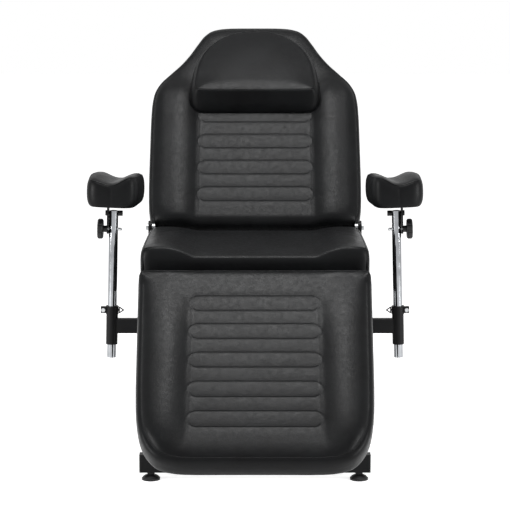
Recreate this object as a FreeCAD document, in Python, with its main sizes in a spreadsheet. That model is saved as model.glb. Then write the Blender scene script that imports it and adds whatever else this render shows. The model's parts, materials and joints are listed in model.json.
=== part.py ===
import FreeCAD, Part
import math
import os
from types import SimpleNamespace

import Sketcher
from FreeCAD import Placement, Rotation, Vector

# Treatment chair with a tilting backrest, a dropping leg rest and two saddle arm rests.
# Millimetres and degrees. X runs across the chair, Y from the leg rest to the backrest,
# Z up. The origin lies on the floor under the middle of the chair.

doc = FreeCAD.newDocument("TreatmentChair")
sheet = doc.addObject("Spreadsheet::Sheet", "Dims")

SIZES = {
    # Datum and common clearances
    "front_to_origin": 234.0,
    "seat_surface": 620.0,
    "overrun": 2.0,
    "soft_gap": 0.3,
    "running_gap": 0.05,
    "plate_gap": 0.5,
    # Steel sections
    "tube_tall": 50.0,
    "tube_thin": 30.0,
    "slim_tube": 25.0,
    "tube_wall": 2.0,
    "plate_thick": 5.0,
    # Base
    "foot_height": 22.0,
    "base_overhang": 10.0,
    "cap_thick": 3.0,
    "cap_plug": 12.0,
    "frame_inset": 3.0,
    "front_bar": 25.0,
    "rear_bar": 560.0,
    "front_post": 120.0,
    "rear_post": 440.0,
    "rail_front": 15.0,
    "rail_rear_inset": 18.0,
    "seat_tie_front": 70.0,
    "seat_tie_rear": 330.0,
    # Levelling feet
    "foot_inset": 31.0,
    "foot_rim": 25.0,
    "foot_edge": 5.0,
    "foot_dome": 10.0,
    "foot_neck": 9.5,
    "foot_collar": 11.5,
    "foot_stud": 5.0,
    "foot_stud_reach": 24.0,
    # Upholstery stack
    "board_thick": 12.0,
    "foam_thick": 68.0,
    "side_tuck": 9.0,
    "seam_inset": 13.0,
    "seam_drop": 5.0,
    "bolster_rise": 19.0,
    "least_rise": 0.5,
    "end_roll": 34.0,
    "valley_half": 178.0,
    "board_inset": 16.0,
    "oval_width": 347.0,
    "oval_height": 47.5,
    "oval_pitch": 91.3,
    "groove_width": 3.0,
    "groove_depth": 2.0,
    # Seat
    "seat_half": 308.0,
    "seat_depth": 486.0,
    # Backrest
    "back_angle": 52.16,
    "back_pivot_gap": 9.0,
    "back_surface_drop": 7.0,
    "back_flare": 6.0,
    "back_start": 4.0,
    "back_end": 718.0,
    "back_first_oval": 114.0,
    "back_tube_start": 18.0,
    "back_tube_end": 450.0,
    "back_tie": 430.0,
    "back_arm_half": 16.0,
    "back_arm_reach": 150.0,
    "seat_plate_half": 18.0,
    "seat_plate_grip": 88.0,
    "seat_plate_margin": 3.0,
    # Leg rest
    "leg_angle": 41.25,
    "leg_pivot_y": -5.0,
    "leg_pivot_drop": 20.0,
    "leg_start": 5.0,
    "leg_end": 604.0,
    "leg_first_oval": 112.0,
    "leg_tube_start": 22.0,
    "leg_tube_end": 470.0,
    "leg_tie": 450.0,
    "leg_ear_half": 15.0,
    "leg_ear_reach": 80.0,
    "leg_lug_reach": 50.0,
    "leg_lug_margin": 3.0,
    # Pivot bolts
    "pivot_bolt": 5.0,
    "pivot_head": 9.5,
    "pivot_head_tall": 7.0,
    "pivot_nut_tall": 8.0,
    # Gas springs
    "eye_radius": 10.0,
    "eye_half": 8.0,
    "eye_neck": 6.0,
    "strut_pin": 4.0,
    "pin_head": 7.0,
    "pin_head_tall": 3.0,
    "lug_thick": 4.0,
    "lug_radius": 12.0,
    "neck_length": 18.0,
    "rod_radius": 4.0,
    "piston_length": 10.0,
    "piston_margin": 16.0,
    "cylinder_wall": 2.0,
    "back_strut_arm": 280.0,
    "back_moving_angle": -28.0,
    "back_fixed_angle": -94.0,
    "back_strut_radius": 13.0,
    "back_strut_barrel": 245.0,
    "back_strut_standoff": 35.0,
    "leg_strut_arm": 194.2,
    "leg_moving_angle": 11.9,
    "leg_fixed_angle": -48.1,
    "leg_strut_radius": 11.0,
    "leg_strut_barrel": 150.0,
    "leg_strut_standoff": 35.0,
    "release_block": 36.0,
    "release_offset": 28.0,
    "lever_radius": 4.0,
    "lever_span": 205.0,
    "lever_arm": 62.0,
    "lever_grip": 8.0,
    # Head pillow
    "pillow_start": 416.0,
    "pillow_length": 270.0,
    "pillow_half": 192.0,
    "pillow_foot": 28.0,
    "pillow_low_thick": 66.0,
    "pillow_high_thick": 20.0,
    "pillow_crown": 9.0,
    "pillow_shoulder": 14.0,
    # Arm supports
    "arm_standoff": 88.0,
    "arm_height": 400.0,
    "arm_lean": 1.5,
    "bar_rise": 9.0,
    "bar_tall": 40.0,
    "bar_deep": 20.0,
    "flange_tall": 84.0,
    "flange_thick": 4.0,
    "flange_bolt": 7.0,
    "flange_bolt_rise": 31.0,
    "sleeve_radius": 16.0,
    "sleeve_low": -42.0,
    "sleeve_high": 42.0,
    "pole_radius": 12.5,
    "pole_low": -79.0,
    "pole_high": 328.0,
    "pole_wall": 2.0,
    "collar_radius": 17.5,
    "collar_tall": 22.0,
    "collar_lug": 31.0,
    "collar_lug_half": 7.0,
    "collar_lug_tall": 17.0,
    "collar_bolt": 3.0,
    "collar_bolt_head": 5.5,
    "collar_bolt_head_tall": 4.0,
    "wing_stud": 3.0,
    "wing_start": 12.8,
    "wing_root": 19.6,
    "wing_tip": 31.0,
    "wing_half": 8.0,
    "wing_wire": 1.6,
    # Arm pad bracket and knob
    "tilt_height": 321.0,
    "tilt_bolt": 4.0,
    "tilt_head": 7.5,
    "tilt_head_tall": 12.0,
    "tilt_nut_tall": 5.0,
    "knob_drop": 44.0,
    "knob_stud": 4.0,
    "knob_tip": 24.0,
    "knob_boss": 9.0,
    "knob_boss_tall": 10.5,
    "knob_radius": 27.5,
    "knob_thick": 15.0,
    "knob_edge": 3.0,
    "knob_flute": 4.0,
    "bracket_thick": 4.0,
    "bracket_half": 20.0,
    "bracket_tail": 13.0,
    "bracket_slot": 25.0,
    "saddle_half": 55.0,
    "saddle_across": 36.0,
    # Arm pads
    "pad_rise": 29.0,
    "pad_offset": 5.0,
    "pad_yaw": 6.5,
    "pad_length": 172.0,
    "pad_board_thick": 6.0,
    "pad_board_inset": 8.0,
    "pad_foot": 51.0,
    "pad_half": 64.5,
    "pad_hump": 71.0,
    "pad_valley": 54.5,
}

for row, (alias, number) in enumerate(SIZES.items(), start=1):
    sheet.set(f"A{row}", alias)
    sheet.set(f"B{row}", str(number))
    sheet.setAlias(f"B{row}", alias)
doc.recompute()

FLUTES = 9
KNOB_TURN = 360.0


class Size:
    """A number together with the sheet formula it comes from."""

    def __init__(self, value, text):
        self.value = float(value)
        self.text = text

    def _with(self, other, sign, value, swap=False):
        first, second = (other, self) if swap else (self, other)
        return Size(value, f"({first.text} {sign} {second.text})")

    def __add__(self, other):
        other = as_size(other)
        return self._with(other, "+", self.value + other.value)

    def __sub__(self, other):
        other = as_size(other)
        return self._with(other, "-", self.value - other.value)

    def __mul__(self, other):
        other = as_size(other)
        return self._with(other, "*", self.value * other.value)

    def __truediv__(self, other):
        other = as_size(other)
        return self._with(other, "/", self.value / other.value)

    def __radd__(self, other):
        return as_size(other) + self

    def __rsub__(self, other):
        return as_size(other) - self

    def __rmul__(self, other):
        return as_size(other) * self

    def __neg__(self):
        return Size(-self.value, f"(-1 * {self.text})")

    def __float__(self):
        return self.value


def as_size(number):
    return number if isinstance(number, Size) else Size(number, repr(float(number)))


def sine(angle):
    return Size(math.sin(math.radians(angle.value)), f"sin({angle.text})")


def cosine(angle):
    return Size(math.cos(math.radians(angle.value)), f"cos({angle.text})")


dim = SimpleNamespace(
    **{alias: Size(sheet.get(alias), f"Dims.{alias}") for alias in SIZES}
)
nodes = {}


# Building blocks


def bind(item, prop, size):
    """Ties one property to the sheet; a plain zero stays as it is."""
    size = as_size(size)
    if size.value or "Dims" in size.text:
        item.setExpression(prop, size.text)


def locate(item, x, y, z):
    for letter, size in zip("xyz", (x, y, z)):
        bind(item, f"Placement.Base.{letter}", size)


def box(x, y, z):
    """A block between a low and a high size on each axis."""
    item = doc.addObject("Part::Box", "Block")
    for prop, (low, high) in zip(("Length", "Width", "Height"), (x, y, z)):
        bind(item, prop, as_size(high) - low)
    locate(item, x[0], y[0], z[0])
    return item


TURNS = {
    "X": Rotation(Vector(0, 1, 0), 90),
    "Y": Rotation(Vector(1, 0, 0), -90),
    "Z": Rotation(),
}


def cylinder(radius, axis, low, high, at=(0, 0)):
    """A round bar along one axis, centred at the two other coordinates."""
    item = doc.addObject("Part::Cylinder", "Round")
    item.Placement.Rotation = TURNS[axis]
    bind(item, "Radius", radius)
    bind(item, "Height", as_size(high) - low)
    place = list(at)
    place.insert("XYZ".index(axis), low)
    locate(item, *place)
    return item


def cut(base, *tools):
    for tool in tools:
        item = doc.addObject("Part::Cut", "Cut")
        item.Base, item.Tool = base, tool
        base = item
    return base


def fuse(*parts):
    item = doc.addObject("Part::MultiFuse", "Fusion")
    item.Shapes = list(parts)
    item.Refine = True
    return item


def mirrored(part, normal=Vector(1, 0, 0)):
    item = doc.addObject("Part::Mirroring", "Mirror")
    item.Source = part
    item.Normal = normal
    return item


def group(*parts):
    item = doc.addObject("Part::Compound", "Set")
    item.Links = list(parts)
    return item


def both_sides(part):
    """The piece and its mirror image across the chair."""
    return group(part, mirrored(part))


def node(name, item, placement=None):
    """Names a finished sub-part and puts it in its place."""
    item.Label = name
    if placement is not None:
        item.Placement = placement
    nodes[name] = item
    return item


def tube(x, y, z, run):
    """A square tube with open ends along the axis run."""
    inner = []
    for letter, (low, high) in zip("XYZ", (x, y, z)):
        if letter == run:
            inner.append((as_size(low) - dim.overrun, as_size(high) + dim.overrun))
        else:
            inner.append((low + dim.tube_wall, high - dim.tube_wall))
    return cut(box(x, y, z), box(*inner))


def around(centre, half):
    return centre - half, centre + half


def body(name):
    return doc.addObject("PartDesign::Body", name)


def sketch_on(owner, plane):
    sketch = owner.newObject("Sketcher::SketchObject", "Sketch")
    origin = owner.Origin.OriginFeatures
    sketch.AttachmentSupport = [(next(f for f in origin if f.Role == plane), "")]
    sketch.MapMode = "FlatFace"
    return sketch


def pin_point(sketch, geo, vertex, x, y):
    """Holds a sketch point at two sheet formulas."""
    for kind, axis, size in (("DistanceX", -2, x), ("DistanceY", -1, y)):
        size = as_size(size)
        if size.value == 0 and "Dims" not in size.text:
            sketch.addConstraint(
                Sketcher.Constraint("PointOnObject", geo, vertex, axis)
            )
            continue
        rule = Sketcher.Constraint(kind, -1, 1, geo, vertex, size.value)
        index = sketch.addConstraint(rule)
        label = f"{kind[-1].lower()}{geo}_{vertex}"
        sketch.renameConstraint(index, label)
        sketch.setExpression(f"Constraints.{label}", size.text)


def draw_loop(sketch, points):
    """A closed outline of straight lines whose corners follow the sheet."""
    spots = [Vector(float(x), float(y), 0) for x, y in points]
    first = sketch.GeometryCount
    count = len(points)
    for start, end in zip(spots, spots[1:] + spots[:1]):
        sketch.addGeometry(Part.LineSegment(start, end))
    for index in range(count):
        after = first + (index + 1) % count
        sketch.addConstraint(
            Sketcher.Constraint("Coincident", first + index, 2, after, 1)
        )
    for index, (x, y) in enumerate(points):
        pin_point(sketch, first + index, 1, x, y)


def draw_circle(sketch, radius, x, y):
    centre = Vector(float(x), float(y), 0)
    circle = Part.Circle(centre, Vector(0, 0, 1), float(radius))
    geo = sketch.addGeometry(circle)
    pin_point(sketch, geo, 3, x, y)
    rule = Sketcher.Constraint("Radius", geo, float(radius))
    index = sketch.addConstraint(rule)
    sketch.renameConstraint(index, f"radius{geo}")
    bind(sketch, f"Constraints.radius{geo}", radius)


def pad(owner, sketch, length, start=0):
    """Pads a sketch; start lifts its plane along the sketch normal."""
    sketch.AttachmentOffset = Placement(Vector(0, 0, float(start)), Rotation())
    bind(sketch, "AttachmentOffset.Base.z", start)
    item = owner.newObject("PartDesign::Pad", "Pad")
    item.Profile = sketch
    bind(item, "Length", length)
    return item


def pocket_through(owner, sketch, start, length):
    """Cuts a sketch along its normal, from just before start to just past length."""
    sketch.AttachmentOffset = Placement(Vector(0, 0, float(start)), Rotation())
    bind(sketch, "AttachmentOffset.Base.z", start - dim.overrun)
    item = owner.newObject("PartDesign::Pocket", "Pocket")
    item.Profile = sketch
    item.Reversed = True
    bind(item, "Length", length + dim.overrun * 2)
    return item


def plate(name, outline, discs, holes, start, thick):
    """A flat steel plate in the YZ plane with round ends and bolt holes."""
    owner = body(name)
    sketch = sketch_on(owner, "YZ_Plane")
    draw_loop(sketch, outline)
    pad(owner, sketch, thick, start)
    for radius, y, z in discs:
        sketch = sketch_on(owner, "YZ_Plane")
        draw_circle(sketch, radius, y, z)
        pad(owner, sketch, thick, start)
    for radius, y, z in holes:
        sketch = sketch_on(owner, "YZ_Plane")
        draw_circle(sketch, radius, y, z)
        pocket_through(owner, sketch, start, thick)
    return owner


def turned(name, outline):
    """A round piece: outline in radius and height, turned about Z."""
    owner = body(name)
    sketch = sketch_on(owner, "XZ_Plane")
    draw_loop(sketch, outline)
    item = owner.newObject("PartDesign::Revolution", "Turned")
    item.Profile = sketch
    item.ReferenceAxis = (sketch, ["V_Axis"])
    item.Angle = 360
    return owner


# Shared places

front = -dim.front_to_origin
frame_half = dim.seat_half - dim.frame_inset
base_half = frame_half + dim.base_overhang
foot_place = base_half - dim.foot_inset
back_half = dim.seat_half + dim.back_flare
arm_across = frame_half + dim.arm_standoff
rail_x = (frame_half - dim.tube_thin, frame_half)
base_z = (dim.foot_height, dim.foot_height + dim.tube_tall)
rail_top = dim.seat_surface - dim.foam_thick - dim.board_thick
rail_z = (rail_top - dim.tube_tall, rail_top)
half_thin = dim.tube_thin / 2
half_tall = dim.tube_tall / 2
rail_end = front + dim.seat_depth - dim.rail_rear_inset
back_pivot = (
    front + dim.seat_depth + dim.back_pivot_gap,
    dim.seat_surface + dim.back_surface_drop,
)
leg_pivot = (front + dim.leg_pivot_y, rail_top - dim.leg_pivot_drop)


def frame_at(pivot, angle):
    """A panel's own frame: its pivot as origin, turned about the X axis."""
    return Placement(
        Vector(0, float(pivot[0]), float(pivot[1])),
        Rotation(Vector(1, 0, 0), float(angle)),
    )


back_place = frame_at(back_pivot, dim.back_angle)
leg_place = frame_at(leg_pivot, dim.leg_angle)

# Base: two crossbars on levelling feet, side rails and four posts

bar_x = (-base_half + dim.cap_thick, base_half - dim.cap_thick)
bar_places = (front + dim.front_bar, front + dim.rear_bar)
stud_hole = dim.foot_stud + dim.running_gap
stud_reach = (dim.foot_height - dim.overrun, dim.foot_height + dim.tube_wall + dim.overrun)
bored = [
    cylinder(stud_hole, "Z", *stud_reach, (sign * foot_place, y))
    for sign in (-1, 1)
    for y in bar_places
]
bars = group(*(tube(bar_x, around(y, half_thin), base_z, "X") for y in bar_places))
node("base_crossbars", cut(bars, group(*bored)))


def end_cap(y):
    """A plastic cap with a plug that slips into the tube."""
    wall = dim.tube_wall + dim.soft_gap
    plug_y = around(y, half_thin - wall)
    plug_z = (base_z[0] + wall, base_z[1] - wall)
    plug_x = (bar_x[1] - dim.cap_plug, bar_x[1])
    face = box((bar_x[1], base_half), around(y, half_thin), base_z)
    return fuse(face, box(plug_x, plug_y, plug_z))


caps = [end_cap(y) for y in bar_places]
node("crossbar_caps", group(*caps, *(mirrored(cap) for cap in caps)))

rail_y = (bar_places[0] + half_thin, bar_places[1] - half_thin)
node("base_rails", both_sides(tube(rail_x, rail_y, base_z, "Y")))

post_z = (base_z[1], rail_z[0])
post_places = (front + dim.front_post, front + dim.rear_post)
posts = [tube(rail_x, around(y, half_tall), post_z, "Z") for y in post_places]
node("frame_posts", group(*posts, *(mirrored(post) for post in posts)))

seat_rail_y = (front + dim.rail_front, rail_end)
node("seat_rails", both_sides(tube(rail_x, seat_rail_y, rail_z, "Y")))

tie_x = (-rail_x[0], rail_x[0])
tie_z = (rail_top - dim.tube_thin, rail_top)
tie_places = (front + dim.seat_tie_front, front + dim.seat_tie_rear)
node(
    "seat_cross_tubes",
    group(*(tube(tie_x, around(y, half_thin), tie_z, "X") for y in tie_places)),
)

# Levelling feet: a wide moulded rim, a waisted neck and a threaded stud

foot_outline = [
    (0, 0),
    (dim.foot_rim, 0),
    (dim.foot_rim, dim.foot_edge),
    (dim.foot_rim - dim.foot_edge, dim.foot_dome),
    (dim.foot_neck, dim.foot_dome + dim.foot_edge),
    (dim.foot_collar, dim.foot_height),
    (dim.foot_stud, dim.foot_height),
    (dim.foot_stud, dim.foot_height + dim.foot_stud_reach),
    (0, dim.foot_height + dim.foot_stud_reach),
]
for end, y in zip(("front", "rear"), bar_places):
    for side, sign in (("left", -1), ("right", 1)):
        spot = Vector(sign * float(foot_place), float(y), 0)
        foot = turned(f"Foot_{end}_{side}", foot_outline)
        node(f"foot_{end}_{side}", foot, Placement(spot, Rotation()))

# Backrest pivot: seat plates outside, backrest arms inside, one bolt through both

plate_inner = frame_half
arm_outer = frame_half - dim.plate_gap
arm_inner = arm_outer - dim.plate_thick
bolt_hole = dim.pivot_bolt + dim.running_gap
plate_rear = back_pivot[0] + dim.seat_plate_half
plate_neck = back_pivot[0] - dim.seat_plate_half
plate_low = rail_z[0] + dim.seat_plate_margin
plate_high = rail_z[1] - dim.seat_plate_margin
seat_plate = plate(
    "SeatPlate",
    [
        (rail_end - dim.seat_plate_grip, plate_low),
        (plate_rear, plate_low),
        (plate_rear, back_pivot[1]),
        (plate_neck, back_pivot[1]),
        (plate_neck, plate_high),
        (rail_end - dim.seat_plate_grip, plate_high),
    ],
    [(dim.seat_plate_half, *back_pivot)],
    [(bolt_hole, *back_pivot)],
    plate_inner,
    dim.plate_thick,
)
node("back_pivot_plates", both_sides(seat_plate))

board_low = -dim.back_surface_drop - dim.foam_thick - dim.board_thick
tube_low = board_low - dim.slim_tube
back_arm = plate(
    "BackArm",
    [
        (-dim.back_arm_half, 0),
        (-dim.back_arm_half, tube_low),
        (dim.back_arm_reach, tube_low),
        (dim.back_arm_reach, board_low),
        (dim.back_arm_half, board_low),
        (dim.back_arm_half, 0),
    ],
    [(dim.back_arm_half, 0, 0)],
    [(bolt_hole, 0, 0)],
    arm_inner,
    dim.plate_thick,
)
node("back_arms", both_sides(back_arm), back_place)

# Leg rest pivot: lugs inside the seat rails, ears on the leg rest frame

lug_x = (rail_x[0] - dim.plate_thick, rail_x[0])
ear_outer = lug_x[0] - dim.plate_gap
ear_inner = ear_outer - dim.plate_thick
leg_lug = plate(
    "LegLug",
    [
        (leg_pivot[0], leg_pivot[1] - dim.leg_ear_half),
        (front + dim.leg_lug_reach, leg_pivot[1] - dim.leg_ear_half),
        (front + dim.leg_lug_reach, rail_top - dim.leg_lug_margin),
        (leg_pivot[0], leg_pivot[1] + dim.leg_ear_half),
    ],
    [(dim.leg_ear_half, *leg_pivot)],
    [(bolt_hole, *leg_pivot)],
    lug_x[0],
    dim.plate_thick,
)
node("leg_pivot_plates", both_sides(leg_lug))

leg_surface = dim.seat_surface - leg_pivot[1]
leg_board_low = leg_surface - dim.foam_thick - dim.board_thick
leg_tube_low = leg_board_low - dim.slim_tube
leg_ear = plate(
    "LegEar",
    [
        (0, -dim.leg_ear_half),
        (0, dim.leg_ear_half),
        (-dim.leg_tube_start, leg_board_low),
        (-dim.leg_ear_reach, leg_board_low),
        (-dim.leg_ear_reach, leg_tube_low),
    ],
    [(dim.leg_ear_half, 0, 0)],
    [(bolt_hole, 0, 0)],
    ear_inner,
    dim.plate_thick,
)
node("leg_ears", both_sides(leg_ear), leg_place)


def shoulder_bolt(pivot, head_face, nut_face):
    """Head outside, nut inside, with the running parts between them."""
    shank = cylinder(dim.pivot_bolt, "X", nut_face - dim.pivot_nut_tall, head_face, pivot)
    head = cylinder(dim.pivot_head, "X", head_face, head_face + dim.pivot_head_tall, pivot)
    nut_high = nut_face - dim.soft_gap
    nut = cylinder(dim.pivot_head, "X", nut_face - dim.pivot_nut_tall, nut_high, pivot)
    return fuse(shank, head, nut)


back_bolt = shoulder_bolt(back_pivot, plate_inner + dim.plate_thick, arm_inner)
leg_bolt = shoulder_bolt(leg_pivot, rail_x[0], ear_inner)
pivot_bolts = [back_bolt, mirrored(back_bolt), leg_bolt, mirrored(leg_bolt)]

# Frames under the backrest and the leg rest

back_tube_x = (arm_inner - dim.slim_tube, arm_inner)
back_tube_z = (tube_low, board_low)
back_run = (dim.back_tube_start, dim.back_tube_end)
node("back_side_tubes", both_sides(tube(back_tube_x, back_run, back_tube_z, "Y")), back_place)

half_slim = dim.slim_tube / 2
back_anchor_s = dim.back_strut_arm * cosine(dim.back_moving_angle)
back_anchor_n = dim.back_strut_arm * sine(dim.back_moving_angle)
back_ties = [
    tube((-back_tube_x[0], back_tube_x[0]), around(s, half_slim), back_tube_z, "X")
    for s in (back_anchor_s, dim.back_tie)
]
node("back_cross_tubes", group(*back_ties), back_place)

leg_tube_x = (ear_inner - dim.slim_tube, ear_inner)
leg_tube_z = (leg_tube_low, leg_board_low)
leg_run = (-dim.leg_tube_end, -dim.leg_tube_start)
node("leg_side_tubes", both_sides(tube(leg_tube_x, leg_run, leg_tube_z, "Y")), leg_place)

leg_anchor_s = dim.leg_strut_arm * cosine(dim.leg_moving_angle)
leg_anchor_n = -dim.leg_strut_arm * sine(dim.leg_moving_angle)
leg_ties = [
    tube((-leg_tube_x[0], leg_tube_x[0]), around(-s, half_slim), leg_tube_z, "X")
    for s in (leg_anchor_s, dim.leg_tie)
]
node("leg_cross_tubes", group(*leg_ties), leg_place)

# Gas springs. Both ends lie at one distance from the pivot, so the spring turns by
# half of the panel's angle.


def on_circle(pivot, radius, angle):
    return pivot[0] + radius * cosine(angle), pivot[1] + radius * sine(angle)


back_base = on_circle(back_pivot, dim.back_strut_arm, dim.back_fixed_angle)
leg_base = on_circle(leg_pivot, dim.leg_strut_arm, dim.leg_fixed_angle)
back_tube_at = (back_base[0] - dim.back_strut_standoff, back_base[1])
leg_tube_at = (leg_base[0], leg_base[1] - dim.leg_strut_standoff)
node(
    "strut_tubes",
    group(
        *(
            tube(tie_x, around(y, half_thin), around(z, half_thin), "X")
            for y, z in (back_tube_at, leg_tube_at)
        )
    ),
)

lug_inner = dim.eye_half + dim.soft_gap
lug_outer = lug_inner + dim.lug_thick
pin_hole = dim.strut_pin + dim.running_gap


def ear_pair(outline, at):
    """Two ears either side of a strut eye."""
    ear = plate(
        "StrutEar", outline, [(dim.lug_radius, *at)], [(pin_hole, *at)], lug_inner, dim.lug_thick
    )
    return ear, mirrored(ear)


def along_y(at, face):
    """Ear outline from a tube face in front of the pin."""
    low, high = around(at[1], dim.lug_radius)
    return [(face, low), (at[0], low), (at[0], high), (face, high)]


def along_z(at, face):
    """Ear outline from a tube face above or below the pin."""
    low, high = around(at[0], dim.lug_radius)
    return [(low, face), (high, face), (high, at[1]), (low, at[1])]


def pin(at):
    """A headed pin with a clip on its far end."""
    reach = lug_outer + dim.pin_head_tall
    shank = cylinder(dim.strut_pin, "X", -reach, reach, at)
    head = cylinder(dim.pin_head, "X", lug_outer, reach, at)
    return fuse(shank, head, mirrored(head))


base_ears = [
    *ear_pair(along_y(back_base, back_tube_at[0] + half_thin), back_base),
    *ear_pair(along_z(leg_base, leg_tube_at[1] + half_thin), leg_base),
]
node("strut_lugs", group(*base_ears, pin(back_base), pin(leg_base)))

back_anchor = (back_anchor_s, back_anchor_n)
leg_anchor = (-leg_anchor_s, leg_anchor_n)
back_ears = ear_pair(along_z(back_anchor, tube_low), back_anchor)
leg_ears = ear_pair(along_z(leg_anchor, leg_tube_low), leg_anchor)
node("back_strut_clevis", group(*back_ears, pin(back_anchor)), back_place)
node("leg_strut_clevis", group(*leg_ears, pin(leg_anchor)), leg_place)


def gas_spring(name, base, angle, length, radius, barrel, side):
    """A barrel hinged on the frame and a rod hinged on the panel, drawn along Y."""
    place = frame_at(base, angle)
    top = dim.neck_length + barrel
    piston = length - top - dim.piston_margin
    eye = cylinder(dim.eye_radius, "X", -dim.eye_half, dim.eye_half)
    neck = cylinder(dim.eye_neck, "Y", 0, dim.neck_length)
    shell = cylinder(radius, "Y", dim.neck_length, top)
    bore = cylinder(
        radius - dim.cylinder_wall, "Y", dim.neck_length + dim.cylinder_wall,
        top - dim.cylinder_wall,
    )
    mouth = cylinder(dim.rod_radius + dim.running_gap, "Y", top - dim.overrun * 2, top + dim.overrun)
    pin_bore = cylinder(pin_hole, "X", -dim.eye_half - dim.overrun, dim.eye_half + dim.overrun)
    node(f"{name}_barrel", cut(fuse(eye, neck, shell), pin_bore, bore, mouth), place)

    lever_at = length + dim.release_offset
    head = cylinder(dim.eye_radius, "X", -dim.eye_half, dim.eye_half, (length, 0))
    block = box(
        around(as_size(0), dim.eye_half),
        (length, length + dim.release_block),
        around(as_size(0), dim.eye_half),
    )
    stem = cylinder(dim.rod_radius, "Y", piston, length)
    disc = cylinder(
        radius - dim.cylinder_wall - dim.running_gap, "Y", piston, piston + dim.piston_length
    )
    head_bore = cylinder(
        pin_hole, "X", -dim.eye_half - dim.overrun, dim.eye_half + dim.overrun, (length, 0)
    )
    lever_bore = cylinder(
        dim.lever_radius + dim.running_gap, "X", -dim.eye_half - dim.overrun,
        dim.eye_half + dim.overrun, (lever_at, 0),
    )
    rod = cut(fuse(head, block, stem, disc), head_bore, lever_bore)
    node(f"{name}_rod", rod, place)

    low = -dim.eye_half - dim.lug_thick
    shaft = cylinder(dim.lever_radius, "X", low, dim.lever_span, (lever_at, 0))
    stop = cylinder(dim.lever_radius * 1.4, "X", low, -dim.eye_half - dim.soft_gap, (lever_at, 0))
    ends = sorted((0, side), key=float)
    arm = cylinder(
        dim.lever_radius, "Z", dim.lever_arm * ends[0], dim.lever_arm * ends[1],
        (dim.lever_span, lever_at),
    )
    ball = doc.addObject("Part::Sphere", "Elbow")
    bind(ball, "Radius", dim.lever_radius)
    locate(ball, dim.lever_span, lever_at, as_size(0))
    grip_ends = sorted((dim.lever_arm * side, dim.lever_arm * side / 3), key=float)
    grip = cylinder(dim.lever_grip, "Z", *grip_ends, (dim.lever_span, lever_at))
    node(f"{name}_lever", fuse(shaft, stop, arm, ball, grip), place)


back_open = dim.back_moving_angle + dim.back_angle - dim.back_fixed_angle
back_length = dim.back_strut_arm * 2 * sine(back_open / 2)
back_lie = (dim.back_moving_angle + dim.back_angle + dim.back_fixed_angle) / 2 + 90
gas_spring(
    "back_spring", back_base, back_lie, back_length, dim.back_strut_radius,
    dim.back_strut_barrel, -1,
)
leg_flat = dim.leg_moving_angle - 180
leg_open = dim.leg_fixed_angle - leg_flat - dim.leg_angle
leg_length = dim.leg_strut_arm * 2 * sine(leg_open / 2)
leg_lie = (leg_flat + dim.leg_angle + dim.leg_fixed_angle) / 2 + 270
gas_spring(
    "leg_spring", leg_base, leg_lie, leg_length, dim.leg_strut_radius,
    dim.leg_strut_barrel, 1,
)


# Upholstery

# Share of the length, of the half-width, of the bolster and of the end roll
SEAT_SHARES = (
    (0.000, 0.978, 0.95, 1.00),
    (0.008, 0.986, 1.08, 0.56),
    (0.026, 0.993, 1.22, 0.27),
    (0.060, 1.000, 1.30, 0.07),
    (0.120, 1.000, 1.30, 0.00),
    (0.500, 1.000, 1.00, 0.00),
    (0.840, 0.998, 0.72, 0.00),
    (0.920, 0.992, 0.66, 0.02),
    (0.965, 0.968, 0.58, 0.08),
    (0.988, 0.938, 0.50, 0.16),
    (1.000, 0.900, 0.42, 0.32),
)
LEG_SHARES = (
    (0.000, 0.950, 0.45, 0.40),
    (0.008, 0.974, 0.62, 0.18),
    (0.026, 0.992, 0.80, 0.05),
    (0.080, 1.000, 1.00, 0.00),
    (0.400, 0.990, 1.00, 0.00),
    (0.765, 0.962, 1.00, 0.00),
    (0.836, 0.943, 0.84, 0.00),
    (0.883, 0.908, 0.66, 0.00),
    (0.930, 0.846, 0.45, 0.02),
    (0.965, 0.768, 0.28, 0.05),
    (0.988, 0.680, 0.16, 0.12),
    (1.000, 0.590, 0.10, 0.26),
)
BACK_SHARES = (
    (0.000, 0.880, 0.45, 0.34),
    (0.010, 0.935, 0.62, 0.14),
    (0.032, 0.978, 0.80, 0.04),
    (0.078, 1.000, 1.00, 0.00),
    (0.300, 1.000, 1.00, 0.00),
    (0.555, 1.000, 1.00, 0.00),
    (0.630, 0.988, 0.55, 0.00),
    (0.660, 0.975, 0.34, 0.00),
    (0.683, 0.956, 0.20, 0.00),
    (0.708, 0.920, 0.10, 0.00),
    (0.735, 0.865, 0.00, 0.00),
    (0.786, 0.760, 0.00, 0.00),
    (0.837, 0.676, 0.00, 0.00),
    (0.873, 0.621, 0.00, 0.01),
    (0.930, 0.532, 0.00, 0.03),
    (0.962, 0.470, 0.00, 0.08),
    (0.985, 0.400, 0.00, 0.22),
    (1.000, 0.310, 0.00, 0.60),
)
VALLEY_SHARE, RIDGE_SHARE, SLOPE_SHARE = 0.60, 0.78, 0.10


def line(start, end):
    return Part.LineSegment(start, end).toShape()


def arc(start, through, end):
    return Part.Arc(start, through, end).toShape()


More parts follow.
